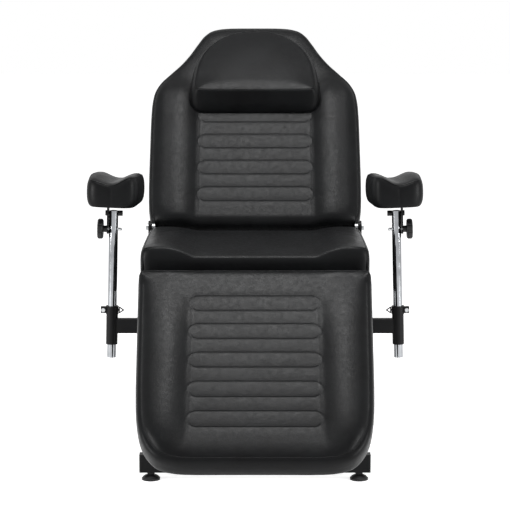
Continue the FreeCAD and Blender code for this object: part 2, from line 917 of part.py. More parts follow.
def cushion_section(place, half, rise, drop, thick):
    """A cut across a cushion: flat underside, drawn-in side, bolster and flat valley."""
    valley = min(float(dim.valley_half), half * VALLEY_SHARE)
    ridge = half * RIDGE_SHARE
    rise = max(rise, float(dim.least_rise))
    seam = half - float(dim.seam_inset)
    foot = half - float(dim.side_tuck)
    slope = (valley + ridge) / 2

    def at(x, z):
        return Vector(x, place, z)

    def side(sign):
        dip = (valley + slope) / 2, -drop + rise * (0.25 - SLOPE_SHARE)
        return [
            arc(
                at(sign * foot, -thick),
                at(sign * half, -(thick + drop) / 2),
                at(sign * seam, -drop - float(dim.seam_drop)),
            ),
            arc(
                at(sign * seam, -drop - float(dim.seam_drop)),
                at(sign * ridge, -drop + rise),
                at(sign * slope, -drop + rise / 2),
            ),
            arc(
                at(sign * slope, -drop + rise / 2),
                at(sign * dip[0], dip[1]),
                at(sign * valley, -drop),
            ),
        ]

    bottom = line(at(-foot, -thick), at(foot, -thick))
    floor = line(at(valley, -drop), at(-valley, -drop))
    return Part.Wire([bottom, *side(1), floor, *reversed(side(-1))])


def cushion(start, end, half, shares, direction=1):
    """Lofts the sections of a table from the start to the end of a panel."""
    sections = []
    for along, across, bolster, roll in shares:
        place = direction * (float(start) + along * float(end - start))
        sections.append(
            cushion_section(
                place,
                across * float(half),
                bolster * float(dim.bolster_rise),
                roll * float(dim.end_roll),
                float(dim.foam_thick),
            )
        )
    return Part.makeLoft(sections, True, True)


def slab(start, end, half, shares, direction=1):
    """The plywood board under a cushion, inside the cushion's outline."""
    inset = float(dim.board_inset)
    span = float(end - start)
    right = []
    for along, across, _, _ in shares:
        place = min(max(along * span, inset), span - inset)
        right.append((across * float(half) - inset, direction * (float(start) + place)))
    outline = right + [(-x, y) for x, y in reversed(right)]
    spots = [Vector(x, y, -float(dim.foam_thick)) for x, y in outline]
    face = Part.Face(Part.makePolygon(spots + spots[:1]))
    return face.extrude(Vector(0, 0, -float(dim.board_thick)))


def stadium(length, width, place):
    """A long oval across the chair, seen from above."""
    r, x = width / 2, (length - width) / 2
    low, high = place - r, place + r
    return Part.Wire(
        [
            line(Vector(-x, low, 0), Vector(x, low, 0)),
            arc(Vector(x, low, 0), Vector(x + r, place, 0), Vector(x, high, 0)),
            line(Vector(x, high, 0), Vector(-x, high, 0)),
            arc(Vector(-x, high, 0), Vector(-x - r, place, 0), Vector(-x, low, 0)),
        ]
    )


def quilted(shape, first, count, direction=1):
    """Sews the long ovals into a cushion as shallow channels."""
    length, width = float(dim.oval_width), float(dim.oval_height)
    groove, deep = float(dim.groove_width), float(dim.groove_depth)
    rings = []
    for index in range(count):
        place = direction * (float(first) + index * float(dim.oval_pitch))
        outer, inner = (
            Part.Face(stadium(length + grow, width + grow, place)).extrude(
                Vector(0, 0, deep + float(dim.overrun))
            )
            for grow in (groove, -groove)
        )
        rings.append(outer.cut(inner))
    channels = Part.makeCompound(rings)
    channels.translate(Vector(0, 0, -deep))
    return shape.cut(channels).Solids[0]


def soft(name, shape, placement):
    item = doc.addObject("Part::Feature", name)
    item.Shape = shape
    return node(name, item, placement)


def raised(placement, height):
    """A panel frame moved along its own normal to the upholstery surface."""
    return placement.multiply(Placement(Vector(0, 0, float(height)), Rotation()))


seat_place = Placement(Vector(0, float(front), float(dim.seat_surface)), Rotation())
zero = as_size(0)
soft("seat_cushion", cushion(zero, dim.seat_depth, dim.seat_half, SEAT_SHARES), seat_place)
soft("seat_board", slab(zero, dim.seat_depth, dim.seat_half, SEAT_SHARES), seat_place)

back_top = raised(back_place, -dim.back_surface_drop)
back_panel = (dim.back_start, dim.back_end, back_half, BACK_SHARES)
back_shape = quilted(cushion(*back_panel), dim.back_first_oval, 4)
soft("back_cushion", back_shape, back_top)
soft("back_board", slab(*back_panel), back_top)

leg_top = raised(leg_place, leg_surface)
leg_panel = (dim.leg_start, dim.leg_end, dim.seat_half, LEG_SHARES, -1)
leg_shape = quilted(cushion(*leg_panel), dim.leg_first_oval, 5, -1)
soft("leg_cushion", leg_shape, leg_top)
soft("leg_board", slab(*leg_panel), leg_top)

# Head pillow: a half-moon wedge that lies on the backrest

# Share of the length, of the half-width and of the thickness
PILLOW_SHARES = (
    (0.000, 0.965, 0.86),
    (0.030, 0.995, 0.97),
    (0.080, 1.000, 1.00),
    (0.300, 0.985, 1.00),
    (0.480, 0.945, 1.00),
    (0.640, 0.865, 1.00),
    (0.780, 0.735, 1.00),
    (0.880, 0.580, 0.98),
    (0.945, 0.430, 0.93),
    (0.985, 0.270, 0.84),
    (1.000, 0.150, 0.72),
)


def pillow_section(along, across, height):
    low, high = float(dim.pillow_low_thick), float(dim.pillow_high_thick)
    thick = (low + (high - low) * along) * height
    half = float(dim.pillow_half) * across
    foot = half - float(dim.pillow_foot) * thick / low
    top = half - float(dim.pillow_shoulder) * thick / low
    crown = thick + float(dim.pillow_crown) * across
    place = float(dim.pillow_start) + along * float(dim.pillow_length)

    def at(x, z):
        return Vector(x, place, z)

    return Part.Wire(
        [
            line(at(-foot, 0), at(foot, 0)),
            arc(at(foot, 0), at(half, thick / 2), at(top, thick)),
            arc(at(top, thick), at(0, crown), at(-top, thick)),
            arc(at(-top, thick), at(-half, thick / 2), at(-foot, 0)),
        ]
    )


pillow_shape = Part.makeLoft([pillow_section(*row) for row in PILLOW_SHARES], True, True)
soft("head_pillow", pillow_shape, raised(back_top, dim.soft_gap))

# Arm supports. Each is drawn upright about its pole, with X away from the chair, and
# then leaned and turned to its side.

# Share of the length, of the width and of the height
PAD_SHARES = (
    (-0.500, 0.930, 0.90),
    (-0.485, 0.975, 0.96),
    (-0.440, 1.000, 1.00),
    (0.000, 0.985, 0.98),
    (0.440, 1.000, 1.00),
    (0.485, 0.975, 0.96),
    (0.500, 0.930, 0.90),
)
WAIST_SHARE, SHOULDER_SHARE, CREST_SHARE, DIP_SHARE = 0.64, 0.94, 0.78, 0.50


def pad_section(along, across, height):
    half = float(dim.pad_half) * across
    foot = float(dim.pad_foot) * across
    hump = float(dim.pad_hump) * height
    valley = float(dim.pad_valley) * height
    place = along * float(dim.pad_length)
    shoulder = hump * (1 + SHOULDER_SHARE) / 2 - (hump - valley) / 4
    flank = (hump + valley) / 2

    def at(x, z):
        return Vector(x, place, z)

    def side(sign):
        return [
            arc(
                at(sign * foot, 0),
                at(sign * half, hump * WAIST_SHARE),
                at(sign * half * SHOULDER_SHARE, shoulder),
            ),
            arc(
                at(sign * half * SHOULDER_SHARE, shoulder),
                at(sign * half * CREST_SHARE, hump),
                at(sign * half * DIP_SHARE, flank),
            ),
        ]

    dip = arc(at(half * DIP_SHARE, flank), at(0, valley), at(-half * DIP_SHARE, flank))
    bottom = line(at(-foot, 0), at(foot, 0))
    return Part.Wire([bottom, *side(1), dip, *reversed(side(-1))])


def ring_cut(outer, inner, low, high):
    return cut(
        cylinder(outer, "Z", low, high),
        cylinder(inner, "Z", low - dim.overrun, high + dim.overrun),
    )


def cross_hole(radius, height):
    reach = dim.pole_radius + dim.overrun
    return cylinder(radius, "X", -reach, reach, (0, height))


def knob():
    """A moulded grip with finger flutes round its edge, turned about Z."""
    back = dim.knob_boss_tall
    face = dim.knob_boss_tall + dim.knob_thick
    bore = dim.knob_stud
    owner = turned(
        "Knob",
        [
            (bore, 0),
            (dim.knob_boss, 0),
            (dim.knob_boss, back),
            (dim.knob_radius - dim.knob_edge, back),
            (dim.knob_radius, back + dim.knob_edge),
            (dim.knob_radius, face - dim.knob_edge),
            (dim.knob_radius - dim.knob_edge, face),
            (0, face),
            (0, back),
            (bore, back),
        ],
    )
    sketch = sketch_on(owner, "XY_Plane")
    draw_circle(sketch, dim.knob_flute, dim.knob_radius + dim.knob_flute / 3, 0)
    flute = pocket_through(owner, sketch, back, dim.knob_thick)
    pattern = owner.newObject("PartDesign::PolarPattern", "Flutes")
    pattern.Originals = [flute]
    axis = next(f for f in owner.Origin.OriginFeatures if f.Role == "Z_Axis")
    pattern.Axis = (axis, [""])
    pattern.Angle = KNOB_TURN
    pattern.Occurrences = FLUTES
    owner.Tip = pattern
    return owner


def wing_handle(height):
    """A thumb screw with a bail bent from wire to a triangle."""
    stud = cylinder(dim.wing_stud, "X", -dim.wing_root, -dim.wing_start, (0, height))
    half, wire = float(dim.wing_half), float(dim.wing_wire)
    root, tip = -float(dim.wing_root), -float(dim.wing_tip)
    spots = [
        Vector(root, 0, half),
        Vector(tip, 0, 0),
        Vector(root, 0, -half),
    ]
    centre = Vector(0, 0, float(height))
    shape = Part.makeSphere(wire, centre + spots[0])
    for start, end in zip(spots, spots[1:] + spots[:1]):
        run = end - start
        bar = Part.makeCylinder(wire, run.Length, centre + start, run)
        shape = shape.fuse([bar, Part.makeSphere(wire, centre + end)])
    bail = doc.addObject("Part::Feature", "Bail")
    bail.Shape = shape.removeSplitter()
    return fuse(stud, bail)


def bracket():
    """The pad's tilting bracket: a saddle plate and a leg beside the pole with a slot."""
    inner = dim.pole_radius + dim.plate_gap
    outer = inner + dim.bracket_thick
    top = dim.tilt_height + dim.pad_rise
    reach = dim.knob_drop + dim.bracket_tail
    owner = body("Bracket")
    sketch = sketch_on(owner, "YZ_Plane")
    draw_loop(
        sketch,
        [
            (-dim.bracket_half, dim.tilt_height - reach),
            (dim.bracket_half, dim.tilt_height - reach),
            (dim.bracket_half, top),
            (-dim.bracket_half, top),
        ],
    )
    pad(owner, sketch, dim.bracket_thick, inner)
    sketch = sketch_on(owner, "YZ_Plane")
    draw_circle(sketch, dim.tilt_bolt + dim.running_gap, 0, dim.tilt_height)
    pocket_through(owner, sketch, inner, dim.bracket_thick)
    across = around(-dim.pad_offset, dim.saddle_across)
    saddle = box(
        across,
        (-dim.saddle_half, dim.saddle_half),
        (top - dim.bracket_thick, top),
    )
    leg = doc.addObject("Part::Common", "Leg")
    leg.Base = owner
    leg.Tool = cylinder(reach, "X", inner, outer, (0, dim.tilt_height))
    return cut(fuse(leg, saddle), tilt_slot(inner, outer))


def tilt_slot(inner, outer):
    """A curved slot about the tilt bolt that the knob's stud runs in."""
    radius, half = float(dim.knob_drop), float(dim.knob_stud + dim.soft_gap)
    spread = float(dim.bracket_slot)
    centre = Vector(float(inner - dim.overrun), 0, float(dim.tilt_height))

    def at(distance, degrees):
        turn = math.radians(degrees)
        return centre + Vector(0, distance * math.sin(turn), -distance * math.cos(turn))

    def end(degrees, sign):
        beyond = degrees + sign * math.degrees(half / radius)
        start, stop = radius - sign * half, radius + sign * half
        return arc(at(start, degrees), at(radius, beyond), at(stop, degrees))

    rim = [
        arc(at(radius + half, -spread), at(radius + half, 0), at(radius + half, spread)),
        end(spread, 1),
        arc(at(radius - half, spread), at(radius - half, 0), at(radius - half, -spread)),
        end(-spread, -1),
    ]
    face = Part.Face(Part.Wire(Part.__sortEdges__(rim)))
    item = doc.addObject("Part::Feature", "Slot")
    item.Shape = face.extrude(Vector(float(outer - inner + dim.overrun * 2), 0, 0))
    return item


def arm_support(side, sign):
    """Every piece of one arm rest. The left one is turned half round about the pole."""
    base = Placement(
        Vector(sign * float(arm_across), float(front + dim.front_post), float(dim.arm_height)),
        Rotation(Vector(0, 0, 1), 0 if sign > 0 else 180),
    )
    lean = Placement(Vector(), Rotation(Vector(0, 1, 0), -float(dim.arm_lean)))
    place = base.multiply(lean)

    sleeve_bore = dim.pole_radius + dim.running_gap
    node(
        f"{side}_sleeve",
        ring_cut(dim.sleeve_radius, sleeve_bore, dim.sleeve_low, dim.sleeve_high),
        place,
    )

    collar_low = dim.sleeve_high
    collar_high = collar_low + dim.collar_tall
    lug_z = around((collar_low + collar_high) / 2, dim.collar_lug_tall / 2)
    lug = box((dim.pole_radius, dim.collar_lug), around(zero, dim.collar_lug_half), lug_z)
    middle = (collar_low + collar_high) / 2
    ring = fuse(cylinder(dim.collar_radius, "Z", collar_low, collar_high), lug)
    bore = cylinder(sleeve_bore, "Z", collar_low - dim.overrun, collar_high + dim.overrun)
    split = box(
        (zero, dim.collar_lug + dim.overrun),
        around(zero, dim.tube_wall / 2),
        (collar_low - dim.overrun, collar_high + dim.overrun),
    )
    bolt_at = ((dim.collar_radius + dim.collar_lug) / 2, middle)
    bolt_span = dim.collar_lug_half + dim.collar_bolt_head_tall
    bolt_hole = dim.collar_bolt + dim.running_gap
    bolt_way = cylinder(bolt_hole, "Y", -bolt_span, bolt_span, bolt_at)
    stud_hole = dim.wing_stud + dim.running_gap
    stud_way = cylinder(stud_hole, "X", -dim.collar_radius - dim.overrun, zero, (0, middle))
    node(f"{side}_collar", cut(ring, bore, split, bolt_way, stud_way), place)
    bolt = fuse(
        cylinder(dim.collar_bolt, "Y", -bolt_span, bolt_span, bolt_at),
        cylinder(dim.collar_bolt_head, "Y", -bolt_span, -dim.collar_lug_half, bolt_at),
        cylinder(dim.collar_bolt_head, "Y", dim.collar_lug_half, bolt_span, bolt_at),
    )
    node(f"{side}_collar_bolt", bolt, place)
    node(f"{side}_clamp_handle", wing_handle(middle), place)

    hollow = dim.pole_radius - dim.pole_wall
    tilt_at, knob_at = dim.tilt_height, dim.tilt_height - dim.knob_drop
    pole = cut(
        ring_cut(dim.pole_radius, hollow, dim.pole_low, dim.pole_high),
        cross_hole(dim.tilt_bolt + dim.running_gap, tilt_at),
        cross_hole(dim.knob_stud + dim.running_gap, knob_at),
    )
    node(f"{side}_pole", pole, place)

    bracket_face = dim.pole_radius + dim.plate_gap + dim.bracket_thick
    nut_face = bracket_face + dim.soft_gap
    tilt_bolt = fuse(
        cylinder(dim.tilt_bolt, "X", -dim.pole_radius, nut_face + dim.tilt_nut_tall, (0, tilt_at)),
        cylinder(
            dim.tilt_head, "X", -dim.pole_radius - dim.tilt_head_tall, -dim.pole_radius, (0, tilt_at)
        ),
        cylinder(dim.tilt_head, "X", nut_face, nut_face + dim.tilt_nut_tall, (0, tilt_at)),
    )
    node(f"{side}_tilt_bolt", tilt_bolt, place)
    node(f"{side}_pad_bracket", bracket(), place)

    grip_place = Placement(
        Vector(float(nut_face), 0, float(knob_at)), Rotation(Vector(0, 1, 0), 90)
    )
    node(f"{side}_knob", knob(), place.multiply(grip_place))
    stud_end = nut_face + dim.knob_boss_tall
    tip = doc.addObject("Part::Cone", "Tip")
    tip.Placement.Rotation = Rotation(Vector(0, 1, 0), -90)
    bind(tip, "Radius1", dim.knob_stud)
    bind(tip, "Radius2", dim.knob_stud / 2)
    bind(tip, "Height", dim.knob_stud)
    locate(tip, -dim.knob_tip + dim.knob_stud, zero, knob_at)
    stud = fuse(
        cylinder(dim.knob_stud, "X", -dim.knob_tip + dim.knob_stud, stud_end, (0, knob_at)), tip
    )
    node(f"{side}_knob_stud", stud, place)

    saddle_top = dim.tilt_height + dim.pad_rise
    pad_place = place.multiply(
        Placement(
            Vector(-float(dim.pad_offset), 0, float(saddle_top)),
            Rotation(Vector(0, 0, 1), sign * float(dim.pad_yaw)),
        )
    )
    inset = dim.pad_board_inset
    wide, long = dim.pad_foot - inset, dim.pad_length / 2 - inset
    thick = dim.pad_board_thick
    board = box(around(zero, wide), around(zero, long), (zero, thick))
    node(f"{side}_pad_board", group(board), pad_place)
    shape = Part.makeLoft([pad_section(*row) for row in PAD_SHARES], True, True)
    corner = Vector(-float(wide), -float(long), -float(dim.overrun))
    recess = Part.makeBox(
        float(wide * 2), float(long * 2), float(thick + dim.overrun), corner
    )
    soft(f"{side}_pad_cushion", shape.cut(recess).Solids[0], pad_place)


for side, sign in (("left", -1), ("right", 1)):
    arm_support(side, sign)

# Stub arms that carry the sleeves, bolted through flanges to the front posts

stub_y = front + dim.front_post
stub_in = frame_half + dim.flange_thick
bar_height = dim.arm_height + dim.bar_rise
stub_z = around(bar_height, dim.bar_tall / 2)
flange = box(
    (frame_half, stub_in),
    around(stub_y, half_tall),
    around(bar_height, dim.flange_tall / 2),
)
stub = tube((stub_in, arm_across), around(stub_y, dim.bar_deep / 2), stub_z, "X")
notch = group(cylinder(dim.sleeve_radius, "Z", dim.sleeve_low * 2, dim.sleeve_high * 2))
notch.Placement = Placement(
    Vector(float(arm_across), float(stub_y), float(dim.arm_height)),
    Rotation(Vector(0, 1, 0), -float(dim.arm_lean)),
)
node("arm_stubs", both_sides(fuse(flange, cut(stub, notch))))

flange_bolts = [
    cylinder(
        dim.flange_bolt, "X", stub_in, stub_in + dim.flange_thick,
        (stub_y, bar_height + dim.flange_bolt_rise * rise),
    )
    for rise in (-1, 1)
]
outer_bolts = [*flange_bolts, *(mirrored(bolt) for bolt in flange_bolts)]
node("frame_bolts", group(*pivot_bolts, *outer_bolts))


# Recompute, check and export

doc.recompute()
for item in doc.Objects:
    if "Invalid" in item.State or "Error" in item.State:
        raise RuntimeError(f"{item.Name} ({item.Label}) failed: {item.State}")
os.makedirs("parts", exist_ok=True)
for name, item in nodes.items():
    shape = item.Shape
    if shape.isNull() or not shape.isValid() or not shape.Solids:
        raise RuntimeError(f"{name} has no valid solid")
    shape.exportStep(os.path.join("parts", f"{name}.step"))
print(len(nodes), "sub-parts")
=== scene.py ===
import json
import math

import bmesh
import bpy
import numpy as np
from bpy.props import FloatProperty, FloatVectorProperty, PointerProperty
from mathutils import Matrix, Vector
from mathutils.kdtree import KDTree


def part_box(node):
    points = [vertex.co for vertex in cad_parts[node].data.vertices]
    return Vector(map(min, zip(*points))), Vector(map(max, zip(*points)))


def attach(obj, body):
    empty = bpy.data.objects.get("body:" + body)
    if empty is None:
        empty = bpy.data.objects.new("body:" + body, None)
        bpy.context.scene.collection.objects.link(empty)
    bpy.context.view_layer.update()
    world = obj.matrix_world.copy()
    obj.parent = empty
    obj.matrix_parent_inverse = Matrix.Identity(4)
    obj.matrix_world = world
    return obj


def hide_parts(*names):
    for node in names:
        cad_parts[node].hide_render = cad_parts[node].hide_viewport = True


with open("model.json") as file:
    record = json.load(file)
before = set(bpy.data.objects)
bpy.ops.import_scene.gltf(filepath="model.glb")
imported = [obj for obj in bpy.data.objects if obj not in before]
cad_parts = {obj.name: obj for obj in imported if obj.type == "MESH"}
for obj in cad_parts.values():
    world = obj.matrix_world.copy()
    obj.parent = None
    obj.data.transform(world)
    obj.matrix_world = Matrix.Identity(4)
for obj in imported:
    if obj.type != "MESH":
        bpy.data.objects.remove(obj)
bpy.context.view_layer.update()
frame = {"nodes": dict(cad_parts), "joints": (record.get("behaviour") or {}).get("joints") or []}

bl_info = {
    "name": "Treatment chair",
    "version": (1, 0, 0),
    "blender": (4, 5, 0),
    "location": "View3D > Sidebar > Chair",
    "description": "Upholstery, steel and stage of a reclining treatment chair",
    "category": "Add Mesh",
}

JOINTS = {joint["name"]: joint for joint in frame["joints"]}
MM = 0.001


# Colours and nodes


def linear(code):
    """An sRGB hex colour as linear RGBA."""
    parts = (int(code[i : i + 2], 16) / 255 for i in (1, 3, 5))
    return (*(c / 12.92 if c <= 0.04045 else ((c + 0.055) / 1.055) ** 2.4 for c in parts), 1.0)


def add_node(tree, kind, inputs=None, **settings):
    """One node with its settings, and its inputs set or linked."""
    item = tree.nodes.new(kind)
    for key, value in settings.items():
        setattr(item, key, value)
    for key, value in (inputs or {}).items():
        if isinstance(value, bpy.types.NodeSocket):
            tree.links.new(value, item.inputs[key])
        else:
            item.inputs[key].default_value = value
    return item


def object_space(tree):
    return add_node(tree, "ShaderNodeTexCoord").outputs["Object"]


class Finish:
    """A material with a plain shader, and what is built on it."""

    def __init__(self, name, **values):
        self.material = bpy.data.materials.new(name)
        self.material.use_nodes = True
        self.tree = self.material.node_tree
        self.shader = next(n for n in self.tree.nodes if n.type == "BSDF_PRINCIPLED")
        for key, value in values.items():
            self.shader.inputs[key.replace("_", " ")].default_value = value

    def noise(self, size, detail=3.0, rough=0.5):
        """Noise whose features measure about size metres."""
        inputs = {
            "Vector": object_space(self.tree), "Scale": 1 / size, "Detail": detail,
            "Roughness": rough,
        }
        return add_node(self.tree, "ShaderNodeTexNoise", inputs).outputs["Fac"]

    def tint(self, source, *stops):
        """Base colour, from places on a ramp and their colours."""
        ramp = add_node(self.tree, "ShaderNodeValToRGB", {"Fac": source})
        for point, (place, colour) in zip(ramp.color_ramp.elements, stops):
            point.position, point.color = place, colour
        self.tree.links.new(ramp.outputs["Color"], self.shader.inputs["Base Color"])

    def rough(self, source, low, high):
        """Roughness, as the middle of a 0 to 1 value spread over a range."""
        inputs = {"Value": source, "From Min": 0.3, "From Max": 0.7, "To Min": low, "To Max": high}
        spread = add_node(self.tree, "ShaderNodeMapRange", inputs)
        self.tree.links.new(spread.outputs["Result"], self.shader.inputs["Roughness"])

    def bump(self, *layers):
        """Relief, the finest layer first: each has its height, depth in metres and strength."""
        normal = None
        for height, depth, strength in layers:
            inputs = {"Height": height, "Distance": depth, "Strength": strength}
            if normal:
                inputs["Normal"] = normal
            normal = add_node(self.tree, "ShaderNodeBump", inputs).outputs["Normal"]
        self.tree.links.new(normal, self.shader.inputs["Normal"])


def leather():
    """Polyurethane synthetic leather, embossed: a fine pebble grain, satin."""
    cover = Finish("embossed_synthetic_leather", IOR=1.5, Specular_IOR_Level=0.1)
    settings = bpy.context.scene.chair.upholstery
    # Grain cells of a real cover measure about 0.9 mm; drawn at 1.6 mm so that they show
    cells = add_node(
        cover.tree, "ShaderNodeTexVoronoi",
        {"Vector": object_space(cover.tree), "Scale": 1 / 0.0016, "Randomness": 0.9},
        feature="SMOOTH_F1",
    ).outputs["Distance"]
    patches = cover.noise(0.012, 4.0, 0.6)
    dark, light = (*settings.dark, 1.0), (*settings.light, 1.0)
    cover.tint(cover.noise(0.09), (0.3, dark), (0.72, light))
    cover.rough(patches, 0.33, 0.46)
    cover.bump((cells, 0.0004, 0.3), (patches, 0.0012, 0.3))
    return cover.material


def powder_coat():
    """Steel with a baked polyester powder coat: black satin with a fine orange peel."""
    coat = Finish("satin_black_powder_coat", IOR=1.5, Specular_IOR_Level=0.12)
    # Orange peel of about 1.5 mm, with a slow change over 60 mm
    slow = coat.noise(0.06, 2.0)
    coat.tint(slow, (0.35, linear("#111112")), (0.7, linear("#171718")))
    coat.rough(slow, 0.36, 0.46)
    coat.bump((coat.noise(0.0015, 2.0), 0.0002, 0.25))
    return coat.material


def chrome():
    """Polished steel tube with a hard chromium plate: a mirror with faint polishing haze."""
    plate = Finish("bright_chromium_plate", Metallic=1.0)
    haze = plate.noise(0.02)
    plate.tint(haze, (0.3, linear("#8b8d90")), (0.7, linear("#999b9e")))
    plate.rough(haze, 0.06, 0.13)
    return plate.material


def zinc():
    """Zinc electroplate with a clear passivation: greyish silver, slightly cloudy."""
    plate = Finish("clear_zinc_plate", Metallic=1.0)
    cloud = plate.noise(0.004, 4.0, 0.6)
    plate.tint(cloud, (0.3, linear("#a9abad")), (0.7, linear("#c3c5c6")))
    plate.rough(cloud, 0.24, 0.38)
    return plate.material


def black_oxide():
    """Bolts blackened in a hot oxide bath: dark, oily metal."""
    steel = Finish("black_oxide_steel", Metallic=0.6)
    cloud = steel.noise(0.005)
    steel.tint(cloud, (0.3, linear("#131314")), (0.7, linear("#1d1d1e")))
    steel.rough(cloud, 0.3, 0.42)
    return steel.material


def moulded_nylon():
    """Injection-moulded black nylon from a spark-eroded mould: a fine matt texture."""
    nylon = Finish("moulded_black_nylon", IOR=1.53, Specular_IOR_Level=0.3)
    # Eroded texture of 0.3 mm, drawn at 0.8 mm so that it shows
    grit = nylon.noise(0.0008, 2.0, 0.7)
    nylon.tint(nylon.noise(0.02, 2.0), (0.3, linear("#0f0f10")), (0.7, linear("#151516")))
    nylon.rough(grit, 0.40, 0.52)
    nylon.bump((grit, 0.0002, 0.35))
    return nylon.material


def dust_cover():
    """Spunbonded polypropylene stapled under the boards: matt black with short loose fibres."""
    liner = Finish("spunbonded_polypropylene_liner", Specular_IOR_Level=0.2)
    # Fibres of 0.03 mm, drawn 1 mm wide and 4 mm long so that they show
    stretch = add_node(
        liner.tree, "ShaderNodeMapping",
        {"Vector": object_space(liner.tree), "Scale": (1000.0, 250.0, 250.0)},
    )
    fibres = add_node(
        liner.tree, "ShaderNodeTexNoise",
        {"Vector": stretch.outputs["Vector"], "Scale": 1.0, "Detail": 4.0, "Roughness": 0.65},
    ).outputs["Fac"]
    liner.tint(fibres, (0.3, linear("#121213")), (0.7, linear("#1f1f21")))
    liner.rough(fibres, 0.72, 0.88)
    liner.bump((fibres, 0.0003, 0.4))
    return liner.material


def gloss_enamel():
    """Stove enamel on the gas springs' barrels: smooth and glossy black."""
    enamel = Finish("gloss_black_enamel")
    slow = enamel.noise(0.03, 2.0)
    enamel.tint(slow, (0.3, linear("#161617")), (0.7, linear("#1c1c1d")))
    enamel.rough(slow, 0.18, 0.26)
    return enamel.material


def thread():
    """Bonded polyester sewing thread: black, a little shinier than the cover it sinks into."""
    strand = Finish("bonded_polyester_thread")
    # Plies of about 0.3 mm, drawn at 0.5 mm so that they show
    plies = strand.noise(0.0005, 1.0)
    strand.tint(plies, (0.3, linear("#101011")), (0.7, linear("#1e1e1f")))
    strand.rough(plies, 0.38, 0.5)
    return strand.material


MAKERS = {
    "leather": leather, "powder": powder_coat, "chrome": chrome, "zinc": zinc,
    "oxide": black_oxide, "nylon": moulded_nylon, "liner": dust_cover, "enamel": gloss_enamel,
    "thread": thread,
}
FINISHES = {}


def finish_of(name):
    """The material of that name, made once."""
    if name not in FINISHES:
        FINISHES[name] = MAKERS[name]()
    return FINISHES[name]


# Meshes and lines


def linked(name, data):
    """An object at the origin, linked to the scene."""
    item = bpy.data.objects.new(name, data)
    bpy.context.scene.collection.objects.link(item)
    return item


def new_piece(name, verts, faces, finish):
    """A smooth mesh object at the origin with one material."""
    mesh = bpy.data.meshes.new(name)
    mesh.from_pydata([tuple(map(float, v)) for v in verts], [], [tuple(map(int, f)) for f in faces])
    mesh.validate()
    mesh.materials.append(finish_of(finish))
    mesh.polygons.foreach_set("use_smooth", [True] * len(mesh.polygons))
    return linked(name, mesh)


def points_of(mesh):
    co = np.zeros(len(mesh.vertices) * 3)
    mesh.vertices.foreach_get("co", co)
    return co.reshape(-1, 3)


def run_of(line):
    """Distance along a line at each of its points."""
    return np.concatenate([[0], np.cumsum(np.linalg.norm(np.diff(line, axis=0), axis=1))])


def read_at(want, along, line):
    """Points of a line at the wanted distances along it."""
    return np.stack([np.interp(want, along, line[:, k]) for k in range(line.shape[1])], 1)


def span(ends, count=24):
    """Points of a smooth curve from the second to the third of four places."""
    # Centripetal knots keep the curve from overshooting at tight corners
    gaps = [max(np.linalg.norm(b - a), 1e-9) ** 0.5 for a, b in zip(ends, ends[1:])]
    knots = np.concatenate([[0.0], np.cumsum(gaps)])
    t = np.linspace(knots[1], knots[2], count, endpoint=False)[:, None]

    def mix(low, high, first, second):
        return ((knots[high] - t) * first + (t - knots[low]) * second) / (knots[high] - knots[low])

    pairs = [mix(k, k + 1, ends[k], ends[k + 1]) for k in range(3)]
    return mix(1, 2, mix(0, 2, *pairs[:2]), mix(1, 3, *pairs[1:]))


def through(points, spacing, closed=False):
    """A smooth curve through points, resampled at an even spacing."""
    pts = np.asarray(points, float)
    if closed:
        pts = np.vstack([pts[-1:], pts, pts[:2]])
    else:
        pts = np.vstack([2 * pts[:1] - pts[1:2], pts, 2 * pts[-1:] - pts[-2:-1]])
    line = np.vstack([*(span(pts[k : k + 4]) for k in range(len(pts) - 3)), pts[-2:-1]])
    along = run_of(line)
    number = max(int(round(along[-1] / spacing)), 4)
    placed = read_at(np.linspace(0, along[-1], number + 1), along, line)
    return placed[:-1] if closed else placed


def even(line, spacing):
    """A closed line resampled at an even spacing."""
    closed = np.vstack([line, line[:1]])
    along = run_of(closed)
    return read_at(np.arange(0, along[-1], spacing), along, closed)


def thin(line, spacing):
    """Drops points of a line that lie closer together than the spacing."""
    kept = [line[0]]
    for point in line[1:]:
        if np.linalg.norm(point - kept[-1]) >= spacing:
            kept.append(point)
    # The last point may not crowd the first of a closed line
    if len(kept) > 3 and np.linalg.norm(kept[-1] - kept[0]) < spacing * 0.6:
        kept.pop()
    return np.array(kept)


def tree_of(points):
    """A search tree over points."""
    tree = KDTree(len(points))
    for index, place in enumerate(points):
        tree.insert(place, index)
    tree.balance()
    return tree


def nearest(points, line):
    """Distance to a line of points, and the distance along it."""
    tree = tree_of([(x, y, 0) for x, y in line])
    found = [tree.find((x, y, 0)) for x, y in points]
    return np.array([f[2] for f in found]), run_of(line)[[f[1] for f in found]]


def rise(value):
    """Smooth step from 0 to 1."""
    value = np.clip(value, 0, 1)
    return value * value * (3 - 2 * value)


def step(value, start, reach):
    """Smooth step from 0 to 1 that begins at start and takes the reach."""
    return rise((value - start) / reach)


def bell(value, width):
    """1 at zero, falling away smoothly on both sides."""
    return np.exp(-((value / width) ** 2))


def full_to(value, reach, steep, power):
    """Grows from 0 to 1 over the reach: steeply at first, then level."""
    return (1 - (1 - np.clip(value / reach, 0, 1)) ** steep) ** power


def ripple(*phases):
    """Slow, irregular variation between -1 and 1 along a seam."""
    return sum(np.sin(p) * w for p, w in zip(phases, (0.5, 0.3, 0.2)))


def graded(low, high, coarse, lines=(), fine=1.3, growth=0.12):
    """Places from low to high, closer together near the given lines."""
    dense = np.linspace(low, high, 5000)
    wide = np.full(dense.shape, float(coarse))
    for line in lines:
        wide = np.minimum(wide, fine + growth * np.abs(dense - line))
    count = np.concatenate([[0], np.cumsum((dense[1] - dense[0]) / wide[1:])])
    total = max(int(round(count[-1])), 4)
    return np.interp(np.linspace(0, count[-1], total + 1), count, dense)


